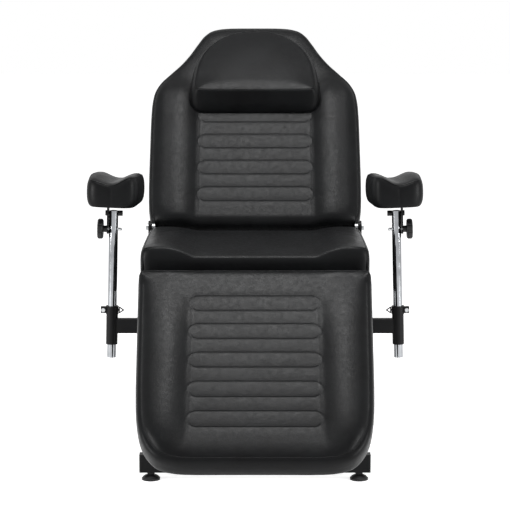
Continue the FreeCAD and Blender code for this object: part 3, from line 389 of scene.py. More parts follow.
class Frame:
    """Axes of a cushion on the chair. Cushions are drawn in millimetres in their own."""

    def __init__(self, origin, across, along, normal):
        self.origin = np.array(origin, float)
        self.axes = np.array([across, along, normal], float) * MM
        self.flipped = np.linalg.det(self.axes) < 0

    def place(self, points):
        return self.origin + np.asarray(points, float) @ self.axes

    def turn(self, faces):
        return [list(reversed(f)) for f in faces] if self.flipped else faces


def panel_frame(joint, lift, direction=1):
    """A panel hinged on a joint, whose travel to flat is its tilt."""
    tilt = math.radians(-joint["range_deg"][0])
    along = np.array([0, math.cos(tilt), math.sin(tilt)])
    normal = np.array([0, -math.sin(tilt), math.cos(tilt)])
    origin = np.array(joint["pos_m"]) + normal * lift * MM
    return Frame(origin, (1, 0, 0), along * direction, normal)


class Cover:
    """A padded cover, drawn as a closed shell: top sheet, seam, side band, underside.

    The outline is the right-hand half, from the middle of the near edge to the middle
    of the far edge, and its two corners part the edges from the side."""

    # Rings between the sheet and the seam: how far in the sheet ends, and the shares of that
    margin, shares = 4.0, (0.4, 0.75)

    def __init__(self, outline, corners, rows, columns, settle):
        half = self.half = through(outline, 1.0)
        run = np.gradient(half, axis=0)
        run /= np.linalg.norm(run, axis=1)[:, None]
        self.inward = np.stack([-run[:, 1], run[:, 0]], 1)
        first, last = (
            int(np.argmin(np.linalg.norm(half - corner, axis=1))) for corner in corners
        )
        side = half[first : last + 1, 1]
        self.rows = graded(side[0], side[-1], *rows)
        self.columns = graded(0, 1, *columns)
        self.settle = settle
        number = np.arange(len(half))
        near = np.interp(
            self.columns * half[first, 0], half[: first + 1, 0], number[: first + 1]
        )
        right = np.interp(self.rows, side, number[first : last + 1])[1:-1]
        far = np.interp(self.columns * half[last, 0], half[last:, 0][::-1], number[last:][::-1])
        self.route = [
            (near[:0:-1], -1), (near, 1), (right, 1), (far[::-1], 1), (far[1:], -1),
            (right[::-1], -1),
        ]

    def ring(self, values):
        """Values along the right half, carried round the whole edge."""
        number = np.arange(len(self.half))
        return np.vstack(
            [read_at(index, number, values) * (sign, 1) for index, sign in self.route]
        )

    def edge(self, inset):
        """The edge moved inwards by a distance, or by one distance for each place."""
        line, normal = self.ring(self.half), self.ring(self.inward)
        normal /= np.linalg.norm(normal, axis=1)[:, None]
        return line + normal * np.broadcast_to(inset, len(line))[:, None]

    def grid(self, inset):
        """Rows and columns of the sheet, fitted to the moved edge."""
        edge = self.edge(inset)
        across, up = 2 * len(self.columns) - 1, len(self.rows)
        near = edge[:across]
        right = edge[across - 1 : across + up - 1]
        far = edge[across + up - 2 : 2 * across + up - 2][::-1]
        left = np.vstack([near[:1], edge[2 * across + up - 2 :][::-1], far[:1]])
        share = ((near[:, 0] - near[0, 0]) / (near[-1, 0] - near[0, 0]))[None, :, None]
        sheet = left[:, None] * (1 - share) + right[:, None] * share
        low, high = self.settle
        fall = 1 - step(self.rows, self.rows[0], low)
        climb = 1 - rise((self.rows[-1] - self.rows) / high)
        sheet += fall[:, None, None] * (near - sheet[0])[None]
        sheet += climb[:, None, None] * (far - sheet[-1])[None]
        return sheet

    def shell(self, top, seam, inset, band):
        """Points and faces. The band gives, for each ring, a place and a height."""
        sheet = self.grid(inset + self.margin)
        up, across = sheet.shape[:2]
        flat = sheet.reshape(-1, 2)
        points = [np.column_stack([flat, top(flat)])]
        number = np.arange(up * across).reshape(up, across)
        quads = np.stack([number[:-1, :-1], number[:-1, 1:], number[1:, 1:], number[1:, :-1]], -1)
        faces = quads.reshape(-1, 4).tolist()
        loop = np.concatenate([number[0], number[1:-1, -1], number[-1, ::-1], number[-2:0:-1, 0]])
        for share in self.shares:
            place = self.edge(inset + self.margin * (1 - share))
            points.append(np.column_stack([place, top(place)]))
        place = self.edge(inset)
        points.append(np.column_stack([place, seam(place)]))
        points += band(self)
        last = points[-1]
        middle = last.mean(0)
        points += [last * 0.5 + middle * 0.5, middle[None]]
        # The last ring closes on a point in the middle of the underside
        rings = [loop]
        total = up * across
        for _ in points[1:-1]:
            rings.append(np.arange(total, total + len(loop)))
            total += len(loop)
        for upper, lower in zip(rings, rings[1:]):
            quad = np.stack([upper, lower, np.roll(lower, -1), np.roll(upper, -1)], -1)
            faces += quad.tolist()
        fan = np.stack([rings[-1], np.full(len(loop), total), np.roll(rings[-1], -1)], -1)
        return np.vstack(points), faces + fan.tolist(), up * across + len(self.shares) * len(loop)


def swell(name, points, faces, held, cap):
    """How far each point of a shell moves when a copy is blown up as cloth."""
    voxel, pressure, frames, neighbours = 6 * MM, 4.0, 20, 8
    mesh = bpy.data.meshes.new(name)
    mesh.from_pydata((points * MM).tolist(), [], faces)
    item = linked(name, mesh)
    scene = bpy.context.scene
    remesh = item.modifiers.new("Remesh", "REMESH")
    remesh.mode, remesh.voxel_size = "VOXEL", voxel
    graph = bpy.context.evaluated_depsgraph_get()
    item.data = bpy.data.meshes.new_from_object(item.evaluated_get(graph))
    item.modifiers.clear()
    rest = points_of(item.data)
    group = item.vertex_groups.new(name="held")
    for index, weight in enumerate(held(rest / MM)):
        if weight > 0.01:
            group.add([index], float(weight), "REPLACE")
    cloth = item.modifiers.new("Cloth", "CLOTH")
    cloth.settings.quality = 5
    cloth.settings.mass = 0.4
    cloth.settings.use_pressure = True
    cloth.settings.uniform_pressure_force = pressure
    cloth.settings.effector_weights.gravity = 0
    cloth.settings.vertex_group_mass = group.name
    cloth.point_cache.frame_end = frames
    for number in range(1, frames + 1):
        scene.frame_set(number)
    graph = bpy.context.evaluated_depsgraph_get()
    shift = (points_of(item.evaluated_get(graph).to_mesh()) - rest) / MM
    scene.frame_set(1)
    length = np.linalg.norm(shift, axis=1)
    shift *= (cap * np.tanh(length / cap) / np.maximum(length, 1e-9))[:, None]
    tree = tree_of(rest)
    moved = np.zeros_like(points)
    for index, place in enumerate(points * MM):
        found = tree.find_n(place, neighbours)
        weight = np.array([1 / (f[2] + 2 * MM) for f in found])
        moved[index] = weight @ shift[[f[1] for f in found]] / weight.sum()
    bpy.data.objects.remove(item)
    return moved


def oval_line(place, spacing=3.0):
    """The long oval that is sewn across a panel."""
    radius = OVAL_TALL / 2
    reach = (OVAL_WIDE - OVAL_TALL) / 2
    turn = np.linspace(-math.pi / 2, math.pi / 2, int(math.pi * radius / spacing), endpoint=False)
    run = np.linspace(reach, -reach, int(2 * reach / spacing), endpoint=False)
    right = np.stack([reach + radius * np.cos(turn), radius * np.sin(turn)], 1)
    top = np.stack([run, np.full(len(run), radius)], 1)
    return np.vstack([right, top, -right, -top]) + (0, place)


def gap_to_oval(points, place):
    """Distance from each point to the oval's line."""
    over = np.maximum(np.abs(points[:, 0]) - (OVAL_WIDE - OVAL_TALL) / 2, 0)
    return np.abs(np.hypot(over, points[:, 1] - place) - OVAL_TALL / 2)


# Cushions, in millimetres of their own frames

FOAM = 68.0
OVAL_WIDE, OVAL_TALL, OVAL_PITCH = 340.0, 47.5, 91.3
PANEL_HALF = 314.0
SEAM_INSET = 10.0
# Room between a cover and its board, and the underside of the board
CLEAR, BOARD_LOW = 0.3, -80.2

# For each panel: the rigid body it rides on, its axes, the right half of its outline and
# its corners; height of the side bolsters along the panel; where they start and crest, and
# their fall beyond; reach and drop of a rolled near end; how far the ends bend the rows

PANELS = {
    "seat": {
        "body": "base",
        "frame": Frame((0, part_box("seat_cushion")[0].y, 0.620), (1, 0, 0), (0, 1, 0), (0, 0, 1)),
        "outline": [
            (0, 0), (150, 0), (268, 0), (288, 1.2), (301, 7), (307, 18), (308, 40), (308, 240),
            (307, 400), (305.5, 448), (300, 471), (289, 482), (268, 486), (150, 486), (0, 486),
        ],
        "corners": [(300, 6), (296, 476)],
        "bolster": [(0, 22), (30, 25), (60, 25), (240, 20), (400, 14), (486, 11)],
        "ridge": (162, 250, 0.0),
        "roll": (11.0, 12.0),
        "ovals": [],
        "settle": (60, 60),
    },
    "back": {
        "body": "backrest",
        "frame": panel_frame(JOINTS["backrest_tilt"], -7.0),
        "outline": [
            (0, 3), (150, 3), (270, 3), (288, 5), (298, 11), (302.5, 20), (306, 33), (311, 62),
            (314, 130), (314, 300), (313, 400), (310, 446), (303, 480), (286, 513), (258, 545),
            (226, 580), (200, 616), (178, 653), (158, 684), (138, 704), (112, 714), (80, 718),
            (0, 719),
        ],
        "corners": [(296, 9), (144, 699)],
        "bolster": [
            (4, 12), (40, 18), (380, 19), (455, 19), (470, 18), (484, 15), (496, 10.5), (508, 6),
            (520, 2.5), (535, 0.6), (560, 0), (718, 0),
        ],
        "ridge": (170, 232, 0.35),
        "roll": (38.0, 42.0),
        "ovals": [114 + OVAL_PITCH * k for k in range(4)],
        "settle": (70, 190),
    },
    "leg": {
        "body": "leg_rest",
        "frame": panel_frame(JOINTS["leg_rest_drop"], 100.0, -1),
        "outline": [
            (0, 0), (150, 0), (284, 0), (299, 2), (306, 9), (307.5, 24), (307, 60), (304, 240),
            (301.5, 380), (298, 455), (294, 488), (288, 517), (278, 543), (264, 565), (246, 583),
            (221, 594), (191, 600), (150, 602), (80, 602), (0, 602),
        ],
        "corners": [(304, 6), (265, 563)],
        "bolster": [
            (3, 0.5), (30, 3), (80, 8), (140, 13), (200, 16), (260, 17), (440, 17), (490, 16),
            (520, 13), (545, 9), (565, 5), (585, 2), (608, 1),
        ],
        "ridge": (169, 238, 0.35),
        "ovals": [112 + OVAL_PITCH * k for k in range(5)],
        "settle": (70, 55),
    },
}
# The side band below a piped seam: share of its height, and how far inside the outline
BAND_PIPED = (
    (0.004, 8.4), (0.016, 6.6), (0.04, 4.6), (0.08, 2.9), (0.14, 1.5), (0.23, 0.6), (0.36, 0.0),
    (0.52, 0.0), (0.68, 0.1), (0.80, 0.5), (0.89, 1.1), (0.955, 2.2), (0.988, 4.0), (1.0, 7.0),
)
# The same where the top rolls over: inset, and share of the height below the roll
BAND_ROLLED = (
    (8.4, 0), (6.6, 0), (4.6, 0), (2.9, 0), (1.5, 0), (0.6, 0), (0.1, 0),
    (0.0, 0.14), (0.1, 0.34), (0.3, 0.54), (0.9, 0.72), (2.0, 0.86), (4.0, 0.96), (7.0, 1.0),
)


class Cushion:
    """A padded piece: its cover, its seam and how it is sewn."""

    # How far the cloth may puff, and the height and reach of the puckers at the seam
    swelling, pucker = 3.0, (0.5, 16.0)

    def settle_cover(self, cover, inset):
        self.cover, self.inset = cover, inset
        self.seam_line = cover.edge(inset)
        self.sewn = even(self.seam_line, 0.75)

    def held(self, points):
        """Where the cloth is held: the seams and the underside."""
        hold = bell(nearest(points[:, :2], self.sewn)[0], 9)
        return np.maximum(hold, (points[:, 2] < self.underside + 6) * 1.0)

    def sew(self, points):
        """Small puckers beside the seam."""
        height, reach = self.pucker
        gap, along = nearest(points[:, :2], self.sewn)
        wave = ripple(along / 9.0, along / 23.0 + 1.7, along / 5.3 + 0.6)
        points[:, 2] += height * wave * bell(gap, reach) * rise(gap / 5)

    def build(self):
        """Points and faces of the finished cover."""
        points, faces, sheet = self.cover.shell(self.top, self.seam, self.inset, self.band)
        points = points + swell(self.key, points, faces, self.held, self.swelling)
        self.sew(points[:sheet])
        return points, faces


class PanelCushion(Cushion):
    """Seat, backrest or leg rest: a flat middle, raised side bolsters and sewn ovals."""

    underside, swelling = CLEAR - FOAM, 1.0

    def __init__(self, key):
        self.key, data = key, PANELS[key]
        self.body, self.frame, self.ovals = data["body"], data["frame"], data["ovals"]
        self.heights = np.array(data["bolster"], float)
        self.ridge, self.roll = data["ridge"], data.get("roll")
        # Rows and columns crowd together along the ovals and at their round ends
        lines = [place + side * OVAL_TALL / 2 for place in self.ovals for side in (-1, 1)]
        wide = 310
        ends = [x / wide for x in (152, 160, 168, 173)] if lines else ()
        columns = (6.5 / wide, ends, 1.8 / wide, 0.16)
        cover = Cover(data["outline"], data["corners"], (6.0, lines), columns, data["settle"])
        outer = cover.edge(0.0)
        self.near, self.far = outer[:, 1].min(), outer[:, 1].max()
        self.settle_cover(cover, self.seam_inset(outer))
        # Where the top rolls over the near end there is no piping
        self.piped = np.ones(len(outer))
        if self.roll:
            self.piped = step(outer[:, 1] - self.near, 4, 26)
            self.sewn = self.sewn[self.sewn[:, 1] > self.near + SEAM_INSET + 3]

    def corner(self, points):
        """1 at the lower corners of the leg rest, where the cover is drawn in."""
        if self.key != "leg":
            return np.zeros(len(points))
        return step(np.abs(points[:, 0]), 195, 55) * step(points[:, 1], 505, 50)

    def seam_inset(self, outer):
        """How far the seam lies inside the outline."""
        if self.key != "leg":
            return np.full(len(outer), SEAM_INSET)
        near = 1 - step(outer[:, 1] - self.near, 4, 20)
        return SEAM_INSET + 4 - 8 * near + 3 * self.corner(outer)

    def bolster(self, points):
        """The raised sides, and the slight roll of the foam where the flat middle ends."""
        high = sum(
            np.interp(points[:, 1] + shift, *self.heights.T) for shift in (-24, -12, 0, 12, 24)
        ) / 5
        aside = np.abs(points[:, 0])
        foot, ridge, slope = self.ridge
        share = rise(np.clip((aside - foot) / (ridge - foot), 0, 1) ** 0.65)
        share -= slope * step(aside, ridge - 12, PANEL_HALF - ridge)
        if self.ovals:
            share = share + 0.07 * bell(aside - foot, 5)
        return high * share

    def rolled(self, height, place):
        """Lets the near end fall away as a quarter of an ellipse, of this reach and drop."""
        if not self.roll:
            return height
        reach, drop = self.roll
        share = np.clip((reach - place) / reach, 0, 1)
        fall = 1 - np.sqrt(1 - 0.999 * share**2)
        return height * (1 - fall) - drop * fall

    def seam_height(self, points):
        """The seam dips at the far end and at the drawn-in corners."""
        high = self.bolster(points)
        if self.key == "seat":
            return 0.9 * high - 3.5
        if self.key == "back":
            return 0.4 * high - 10.0 + 5.0 * rise((self.far - SEAM_INSET - points[:, 1]) / 40)
        near = 1 - step(points[:, 1] - self.near, 8, 40)
        return 0.4 * high - 5.0 + 10.0 * near - 3.0 * self.corner(points)

    def full(self, points):
        """Height of the cover over the foam, before the near end falls away."""
        # The cover rounds off over this reach, more gently at the backrest's near end
        wider = 26 if self.key == "back" else 0
        reach = 27 + wider * (1 - step(points[:, 1] - self.near, 20, 60))
        puff = full_to(nearest(points, self.sewn)[0], reach, 2.2, 0.62)
        seam = self.seam_height(points)
        return seam + (self.bolster(points) + 1.2 - seam) * puff

    def top(self, points):
        return self.rolled(self.full(points), points[:, 1] - self.near)

    def seam(self, points):
        """Height of the seam line, or of the top where that runs on over the edge."""
        sewn = self.rolled(self.seam_height(points), points[:, 1] - self.near)
        return sewn * self.piped + self.top(points) * (1 - self.piped)

    def band(self, cover):
        """Rings of the side band, from the seam down to the underside."""
        seam, full = self.seam(self.seam_line), self.full(self.seam_line)
        drop = self.roll[1] if self.roll else 0.0
        rings = []
        for (share, inset), (ahead, below) in zip(BAND_PIPED, BAND_ROLLED):
            scale = self.inset / SEAM_INSET if share < 0.3 else 1.0
            place = cover.edge(inset * scale * self.piped + ahead * (1 - self.piped))
            side = seam * (1 - share) + self.underside * share
            over = self.rolled(full, np.full(len(full), ahead))
            under = self.underside * below - drop * (1 - below)
            over = over * (1 - rise(below / 0.14)) + rise(below / 0.14) * under
            rings.append(np.column_stack([place, side * self.piped + over * (1 - self.piped)]))
        return rings

    def held(self, points):
        hold = super().held(points)
        top = points[:, 2] > -15
        for place in self.ovals:
            hold = np.maximum(hold, top * bell(gap_to_oval(points[:, :2], place), 7))
        return hold

    def sew(self, points):
        """Puckers beside the seam, and the ovals pulled down by their stitches."""
        super().sew(points)
        pull = np.zeros(len(points))
        if self.roll:
            # A fold runs in from each front corner
            aside = np.abs(points[:, 0])
            fold = points[:, 1] - self.near - 15 + 0.03 * (300 - aside)
            pull += 1.5 * bell(fold, 2.2) * step(aside, 205, 60)
        for place in self.ovals:
            gap = gap_to_oval(points[:, :2], place)
            pull = np.maximum(pull, 0.85 * bell(gap, 1.2) + 0.3 * bell(gap, 5.0))
        points[:, 2] -= pull

    def places(self):
        return [(f"{self.key}_upholstery", self.body, self.frame, f"{self.key}_cushion")]

    def welt(self):
        """Line of the piping, and whether it closes on itself."""
        if not self.roll:
            # At the near end the seam lies hidden in its crease
            near = 1 - step(self.seam_line[:, 1] - self.near, 12, 16)
            height = self.seam_height(self.seam_line) - 0.6 - 3.0 * near
            line = np.column_stack([self.seam_line, height])
            return through(thin(line, 9.0), 4.0, closed=True), True
        half = self.cover.half + self.cover.inward * SEAM_INSET
        half = half[half[:, 1] > self.near + 24]
        height = self.rolled(self.seam_height(half), half[:, 1] - self.near)
        side = np.column_stack([half, height + 0.5])
        # From the underside up the front corner, and over to the side seam
        lead = side[0] - (0, self.near, 0)
        x, y = np.array(PANELS[self.key]["corners"][0]) - (0, self.near) + (1.6, -1.6)
        corner = [
            (x - 2.0, y + 2.5, -62), (x, y, -46), (x, y, -30), (x - 0.8, y + 2.0, -16),
            (x * 0.4 + lead[0] * 0.6 - 0.4, y * 0.6 + lead[1] * 0.3 + 1, lead[2] * 0.3 - 5),
        ]
        half = np.vstack([np.array(corner) + (0, self.near, 0), thin(side, 9.0)])
        return through(np.vstack([half, half[-2::-1] * (-1, 1, 1)]), 4.0), False

    def lining(self, inset=32.0):
        """Line along which the liner is stapled to the underside of the board."""
        line = thin(self.cover.edge(inset), 12.0)
        return np.column_stack([line, np.full(len(line), BOARD_LOW)])

    def threads(self, sunk=1.4):
        """Lines of the stitches, sunk in the grooves of the ovals."""
        lines = [oval_line(place) for place in self.ovals]
        return [np.column_stack([line, self.top(line) - sunk]) for line in lines]


class PillowCushion(Cushion):
    """Half-moon head pillow, a wedge that thins towards the top of the backrest."""

    key, underside, pucker = "pillow", CLEAR, (0.45, 12.0)
    # Low end of the outline; where the wedge starts and ends, its heights there, its crown
    # and how far its low face leans
    front = 393
    start, end, low, high, crown, slant = 411.0, 690.0, 63.0, 19.0, 5.5, 27.0
    outline = [
        (0, front), (90, front), (158, 394), (180, 399), (191, 411), (195, 432), (193.5, 480),
        (188, 522), (179, 560), (165, 594), (145, 624), (117, 651), (82, 672), (42, 685), (0, 690),
    ]
    # Share of the height under the seam, and share of the seam's inset at the sides and low end
    profile = (
        (0.02, 0.90, 0.95), (0.06, 0.76, 0.88), (0.13, 0.56, 0.78), (0.23, 0.36, 0.66),
        (0.36, 0.18, 0.50), (0.50, 0.07, 0.34), (0.64, 0.01, 0.21), (0.78, 0.02, 0.11),
        (0.89, 0.12, 0.08), (0.96, 0.28, 0.16), (0.99, 0.44, 0.30), (1.0, 0.62, 0.50),
    )

    def __init__(self):
        self.frame = PANELS["back"]["frame"]
        cover = Cover(self.outline, [(187, 405), (122, 643)], (5.0,), (5.0 / 190,), (40, 60))
        outer = cover.edge(0.0)
        inset = np.interp(outer[:, 1], (self.front, 410, 450, 640, 690), (20.0, 18.0, 15.0, 12.0, 9.0))
        self.settle_cover(cover, inset)

    def thick(self, points):
        share = (points[:, 1] - self.start) / (self.end - self.start)
        return self.low + (self.high - self.low) * np.clip(share, 0, 1)

    def seam(self, points):
        return self.thick(points) - 1.0

    def top(self, points):
        gap = nearest(points, self.sewn)[0]
        crown, lip = full_to(gap, 95, 2.6, 1), full_to(gap, 9, 2, 0.5)
        return self.seam(points) + self.crown * crown + 3.2 * lip

    def band(self, cover):
        high = self.seam(self.seam_line)
        ahead = np.clip(cover.ring(cover.inward)[:, 1], 0, 1)
        rings = []
        for share, side, end in self.profile:
            place = cover.edge(self.inset * (side * (1 - ahead) + end * ahead))
            rings.append(np.column_stack([place, high * (1 - share) + self.underside * share]))
        return rings

    def lean(self, points):
        """Slants the face at the low end."""
        near = 1 - step(points[:, 1], self.front, 110)
        return points + (0, 1, 0) * (self.slant * near * points[:, 2] / self.low)[:, None]

    def build(self):
        points, faces = super().build()
        points[:, 2] = np.maximum(points[:, 2], self.underside)
        return self.lean(points), faces

    def places(self):
        return [("pillow_upholstery", "head_pillow", self.frame, "head_pillow")]

    def welt(self):
        line = self.lean(np.column_stack([self.seam_line, self.seam(self.seam_line) + 0.9]))
        return through(thin(line, 8.0), 4.0, closed=True), True


def pad_frame(side):
    """Axes of an arm pad: out from the chair, to the rear and up."""
    tilt, swivel = JOINTS[f"{side}_pad_tilt"], JOINTS[f"{side}_arm_swivel"]
    out, up = np.array(tilt["axis"], float), np.array(swivel["axis"], float)
    out = out * (1 if out[0] * tilt["pos_m"][0] > 0 else -1)
    up = up * (1 if up[2] > 0 else -1)
    rear, yaw = np.array([0.0, 1.0, 0.0]), math.radians(6.5)
    origin = np.array(tilt["pos_m"]) + (up * 29.0 - out * 5.0) * MM
    across = out * math.cos(yaw) + rear * math.sin(yaw)
    return Frame(origin, across, rear * math.cos(yaw) - out * math.sin(yaw), up)


class PadCushion(Cushion):
    """Saddle-shaped arm pad; x runs outwards and y to the rear."""

    key, underside, swelling, pucker = "pad", 0.0, 2.0, (0.35, 10.0)
    # Half width, heights of the humps and the valley, drop to the seam, overhang at the board
    half, crest, valley, lip, hang = 71.0, 82.0, 61.5, 6.5, -4.0
    board_half, board_long = 43.4, 78.4
    outline = [
        (0, -87), (22, -87), (42, -85.5), (56, -80), (65, -70), (69.8, -54), (71, -30),
        (71, 0), (71, 30), (69.8, 54), (65, 70), (56, 80), (42, 85.5), (22, 87), (0, 87),
    ]
    # Share of the height under the seam, and how far inside the outline: sides, then ends
    profile = (
        (0.02, 5.4, 5.4), (0.06, 3.8, 3.8), (0.12, 2.3, 2.3), (0.20, 1.1, 1.1), (0.30, 0.4, 0.4),
        (0.42, 0.0, 0.0), (0.55, 0.0, 0.0), (0.67, 0.5, 0.2), (0.77, 1.5, 0.5), (0.86, 3.2, 1.1),
        (0.925, 5.4, 1.9), (0.965, 7.6, 2.9), (0.99, 9.8, 4.2), (1.0, 11.5, 5.8),
    )

    def __init__(self):
        cover = Cover(self.outline, [(60, -76), (60, 76)], (4.0,), (4.0 / 70,), (40, 40))
        self.settle_cover(cover, 7.0)

    def saddle(self, points):
        """Humps at both sides and a valley between, lower at the outer front corner."""
        x, y = points[:, 0], points[:, 1]
        side = np.clip(np.abs(x) / self.half, 0, 1)
        high = self.valley + (self.crest - self.valley) * rise(side / 0.80)
        front, rear, outer = step(-y, 8, 80), step(y, 5, 85), step(x, -20, 60)
        return high - 9.0 * rear * side - front * side * (12.0 * outer - 3.0 * (1 - outer))

    def seam(self, points):
        return self.saddle(points) - self.lip

    def top(self, points):
        puff = full_to(nearest(points, self.sewn)[0], 26, 2.2, 0.6)
        return self.saddle(points) - self.lip * (1 - puff)

    def band(self, cover):
        high = self.seam(self.seam_line)
        aside = np.abs(cover.ring(cover.inward)[:, 0])
        # The band is joined by an upright seam in the middle of its front
        joint = bell(self.seam_line[:, 0], 2.0) * (self.seam_line[:, 1] < -60)
        rings = []
        for share, side, end in self.profile:
            inward = side * aside + end * (1 - aside) + 1.1 * joint * (0.1 < share < 0.95)
            rings.append(np.column_stack([cover.edge(inward), high * (1 - share) + self.hang * share]))
        board = np.array([self.board_half, self.board_long])
        recess = np.clip(cover.edge(0.0), -board, board)
        for height in (0.1, 2.2):
            rings.append(np.column_stack([recess, np.full(len(recess), height)]))
        return rings

    def places(self):
        return [
            (f"{side}_pad_upholstery", f"{side}_pad", pad_frame(side), f"{side}_pad_cushion")
            for side in ("left", "right")
        ]

    def welt(self):
        line = np.column_stack([self.seam_line, self.seam(self.seam_line) + 0.5])
        return through(thin(line, 7.0), 3.5, closed=True), True


def finish_piece(item, body, *nodes):
    """Hangs the piece on the body it rides on, and hides the CAD parts it stands for."""
    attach(item, body)
    if nodes:
        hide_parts(*nodes)


def make_cushion(cushion):
    """Builds a cushion once and puts it in each of its places."""
    points, faces = cushion.build()
    for name, body, where, node in cushion.places():
        item = new_piece(name, where.place(points), where.turn(faces), "leather")
        finish_piece(item, body, node)


# Things that follow a line or repeat, by Geometry Nodes


def line_object(name, lines):
    """A curve object; each line is its points and whether it closes on itself."""
    curve = bpy.data.curves.new(name, "CURVE")
    curve.dimensions = "3D"
    for points, closed in lines:
        spline = curve.splines.new("POLY")
        spline.points.add(len(points) - 1)
        spline.points.foreach_set("co", np.column_stack([points, np.ones(len(points))]).ravel())
        spline.use_cyclic_u = closed
    return linked(name, curve)


def new_tree(name, *inputs):
    """A Geometry Nodes tree with length inputs, and its group inputs."""
    tree = bpy.data.node_groups.new(name, "GeometryNodeTree")
    tree.interface.new_socket("Geometry", in_out="INPUT", socket_type="NodeSocketGeometry")
    for label in inputs:
        tree.interface.new_socket(label, in_out="INPUT", socket_type="NodeSocketFloat")
    tree.interface.new_socket("Geometry", in_out="OUTPUT", socket_type="NodeSocketGeometry")
    return tree, add_node(tree, "NodeGroupInput").outputs


def close_tree(tree, shape, finish):
    """Ends a tree in real geometry with its material."""
    solid = add_node(tree, "GeometryNodeRealizeInstances", {"Geometry": shape})
    coat = add_node(
        tree, "GeometryNodeSetMaterial",
        {"Geometry": solid.outputs["Geometry"], "Material": finish_of(finish)},
    )
    add_node(tree, "NodeGroupOutput", {"Geometry": coat.outputs["Geometry"]})
    return tree


def piping_tree():
    """A welt: the cover wrapped round a cord, swept along the seam."""
    tree, start = new_tree("piping", "Radius")
    ring = add_node(
        tree, "GeometryNodeCurvePrimitiveCircle", {"Resolution": 10, "Radius": start["Radius"]}
    )
    sweep = add_node(
        tree, "GeometryNodeCurveToMesh",
        {"Curve": start["Geometry"], "Profile Curve": ring.outputs["Curve"], "Fill Caps": True},
    )
    smooth = add_node(tree, "GeometryNodeSetShadeSmooth", {"Geometry": sweep.outputs["Mesh"]})
    return close_tree(tree, smooth.outputs["Geometry"], "leather")


def stitch_tree(name, finish):
    """Rounded lengths of thread or wire, laid one after the other along a line."""
    tree, start = new_tree(name, "Pitch", "Length", "Radius")
    spots = add_node(
        tree, "GeometryNodeCurveToPoints",
        {"Curve": start["Geometry"], "Length": start["Pitch"]}, mode="LENGTH",
    )
    ball = add_node(
        tree, "GeometryNodeMeshUVSphere", {"Segments": 6, "Rings": 4, "Radius": start["Radius"]}
    )
    ratio = add_node(
        tree, "ShaderNodeMath", {0: start["Length"], 1: start["Radius"]}, operation="DIVIDE"
    )
    half = add_node(tree, "ShaderNodeMath", {0: ratio.outputs[0], 1: 2.0}, operation="DIVIDE")
    size = add_node(tree, "ShaderNodeCombineXYZ", {"X": 1.0, "Y": 1.0, "Z": half.outputs[0]})
    put = add_node(
        tree, "GeometryNodeInstanceOnPoints",
        {
            "Points": spots.outputs["Points"], "Instance": ball.outputs["Mesh"],
            "Rotation": spots.outputs["Rotation"], "Scale": size.outputs["Vector"],
        },
    )
    smooth = add_node(tree, "GeometryNodeSetShadeSmooth", {"Geometry": put.outputs["Instances"]})
    return close_tree(tree, smooth.outputs["Geometry"], finish)


def grown(name, source, tree, values):
    """Runs a tree on an object and keeps the result as a plain mesh."""
    modifier = source.modifiers.new("Grow", "NODES")
    modifier.node_group = tree
    for socket in tree.interface.items_tree:
        if socket.in_out == "INPUT" and socket.name in values:
            modifier[socket.identifier] = values[socket.name]
    graph = bpy.context.evaluated_depsgraph_get()
    mesh = bpy.data.meshes.new_from_object(source.evaluated_get(graph))
    mesh.name = name
    work = bmesh.new()
    work.from_mesh(mesh)
    bmesh.ops.remove_doubles(work, verts=work.verts, dist=1e-6)
    bmesh.ops.recalc_face_normals(work, faces=work.faces)
    work.to_mesh(mesh)
    work.free()
    bpy.data.objects.remove(source)
    return linked(name, mesh)


# Settings, as a user would change them

LENGTH = {"subtype": "DISTANCE", "unit": "LENGTH"}


class UpholsterySettings(bpy.types.PropertyGroup):
    """Sizes and colours of the covers"""

    dark: FloatVectorProperty(
        name="Cover, dark", description="Cover colour where it is darkest",
        default=linear("#0b0b0c")[:3], size=3, min=0, max=1, subtype="COLOR",
    )
    light: FloatVectorProperty(
        name="Cover, light", description="Cover colour where it is lightest",
        default=linear("#121314")[:3], size=3, min=0, max=1, subtype="COLOR",
    )
    piping: FloatProperty(
        name="Piping", description="Radius of the piping",
        default=1.8 * MM, min=1.0 * MM, max=6.0 * MM, **LENGTH,
    )
    pitch: FloatProperty(
        name="Stitch pitch", description="From one stitch to the next",
        default=6.0 * MM, min=2.0 * MM, max=12.0 * MM, **LENGTH,
    )
    stitch: FloatProperty(
        name="Stitch length", description="Length of the thread on top",
        default=4.6 * MM, min=1.0 * MM, max=11.0 * MM, **LENGTH,
    )
    thread: FloatProperty(
        name="Thread", description="Radius of the thread",
        default=0.45 * MM, min=0.1 * MM, max=1.5 * MM, **LENGTH,
    )
    staple_pitch: FloatProperty(
        name="Staple pitch", description="From one staple of the liner to the next",
        default=28.0 * MM, min=10.0 * MM, max=80.0 * MM, **LENGTH,
    )
    staple: FloatProperty(
        name="Staple", description="Length of a staple's back",
        default=10.0 * MM, min=4.0 * MM, max=16.0 * MM, **LENGTH,
    )
    wire: FloatProperty(
        name="Staple wire", description="Radius of the staple's wire",
        default=0.6 * MM, min=0.2 * MM, max=1.5 * MM, **LENGTH,
    )


class StageSettings(bpy.types.PropertyGroup):
    """Place and lens of the camera"""

    distance: FloatProperty(
        name="Distance", description="From the camera to the middle of the chair",
        default=5.536, min=2.0, max=12.0, **LENGTH,
    )
    height: FloatProperty(
        name="Height", description="Height of the camera above the floor",
        default=1.490, min=0.2, max=4.0, **LENGTH,
    )
    pitch: FloatProperty(
        name="Pitch", description="How far the camera looks down",
        default=math.radians(9.27), min=-0.5, max=1.2, subtype="ANGLE", unit="ROTATION",
    )
    lens: FloatProperty(
        name="Lens", description="Focal length in millimetres on a 36 mm sensor",
        default=142.0, min=20.0, max=300.0,
    )


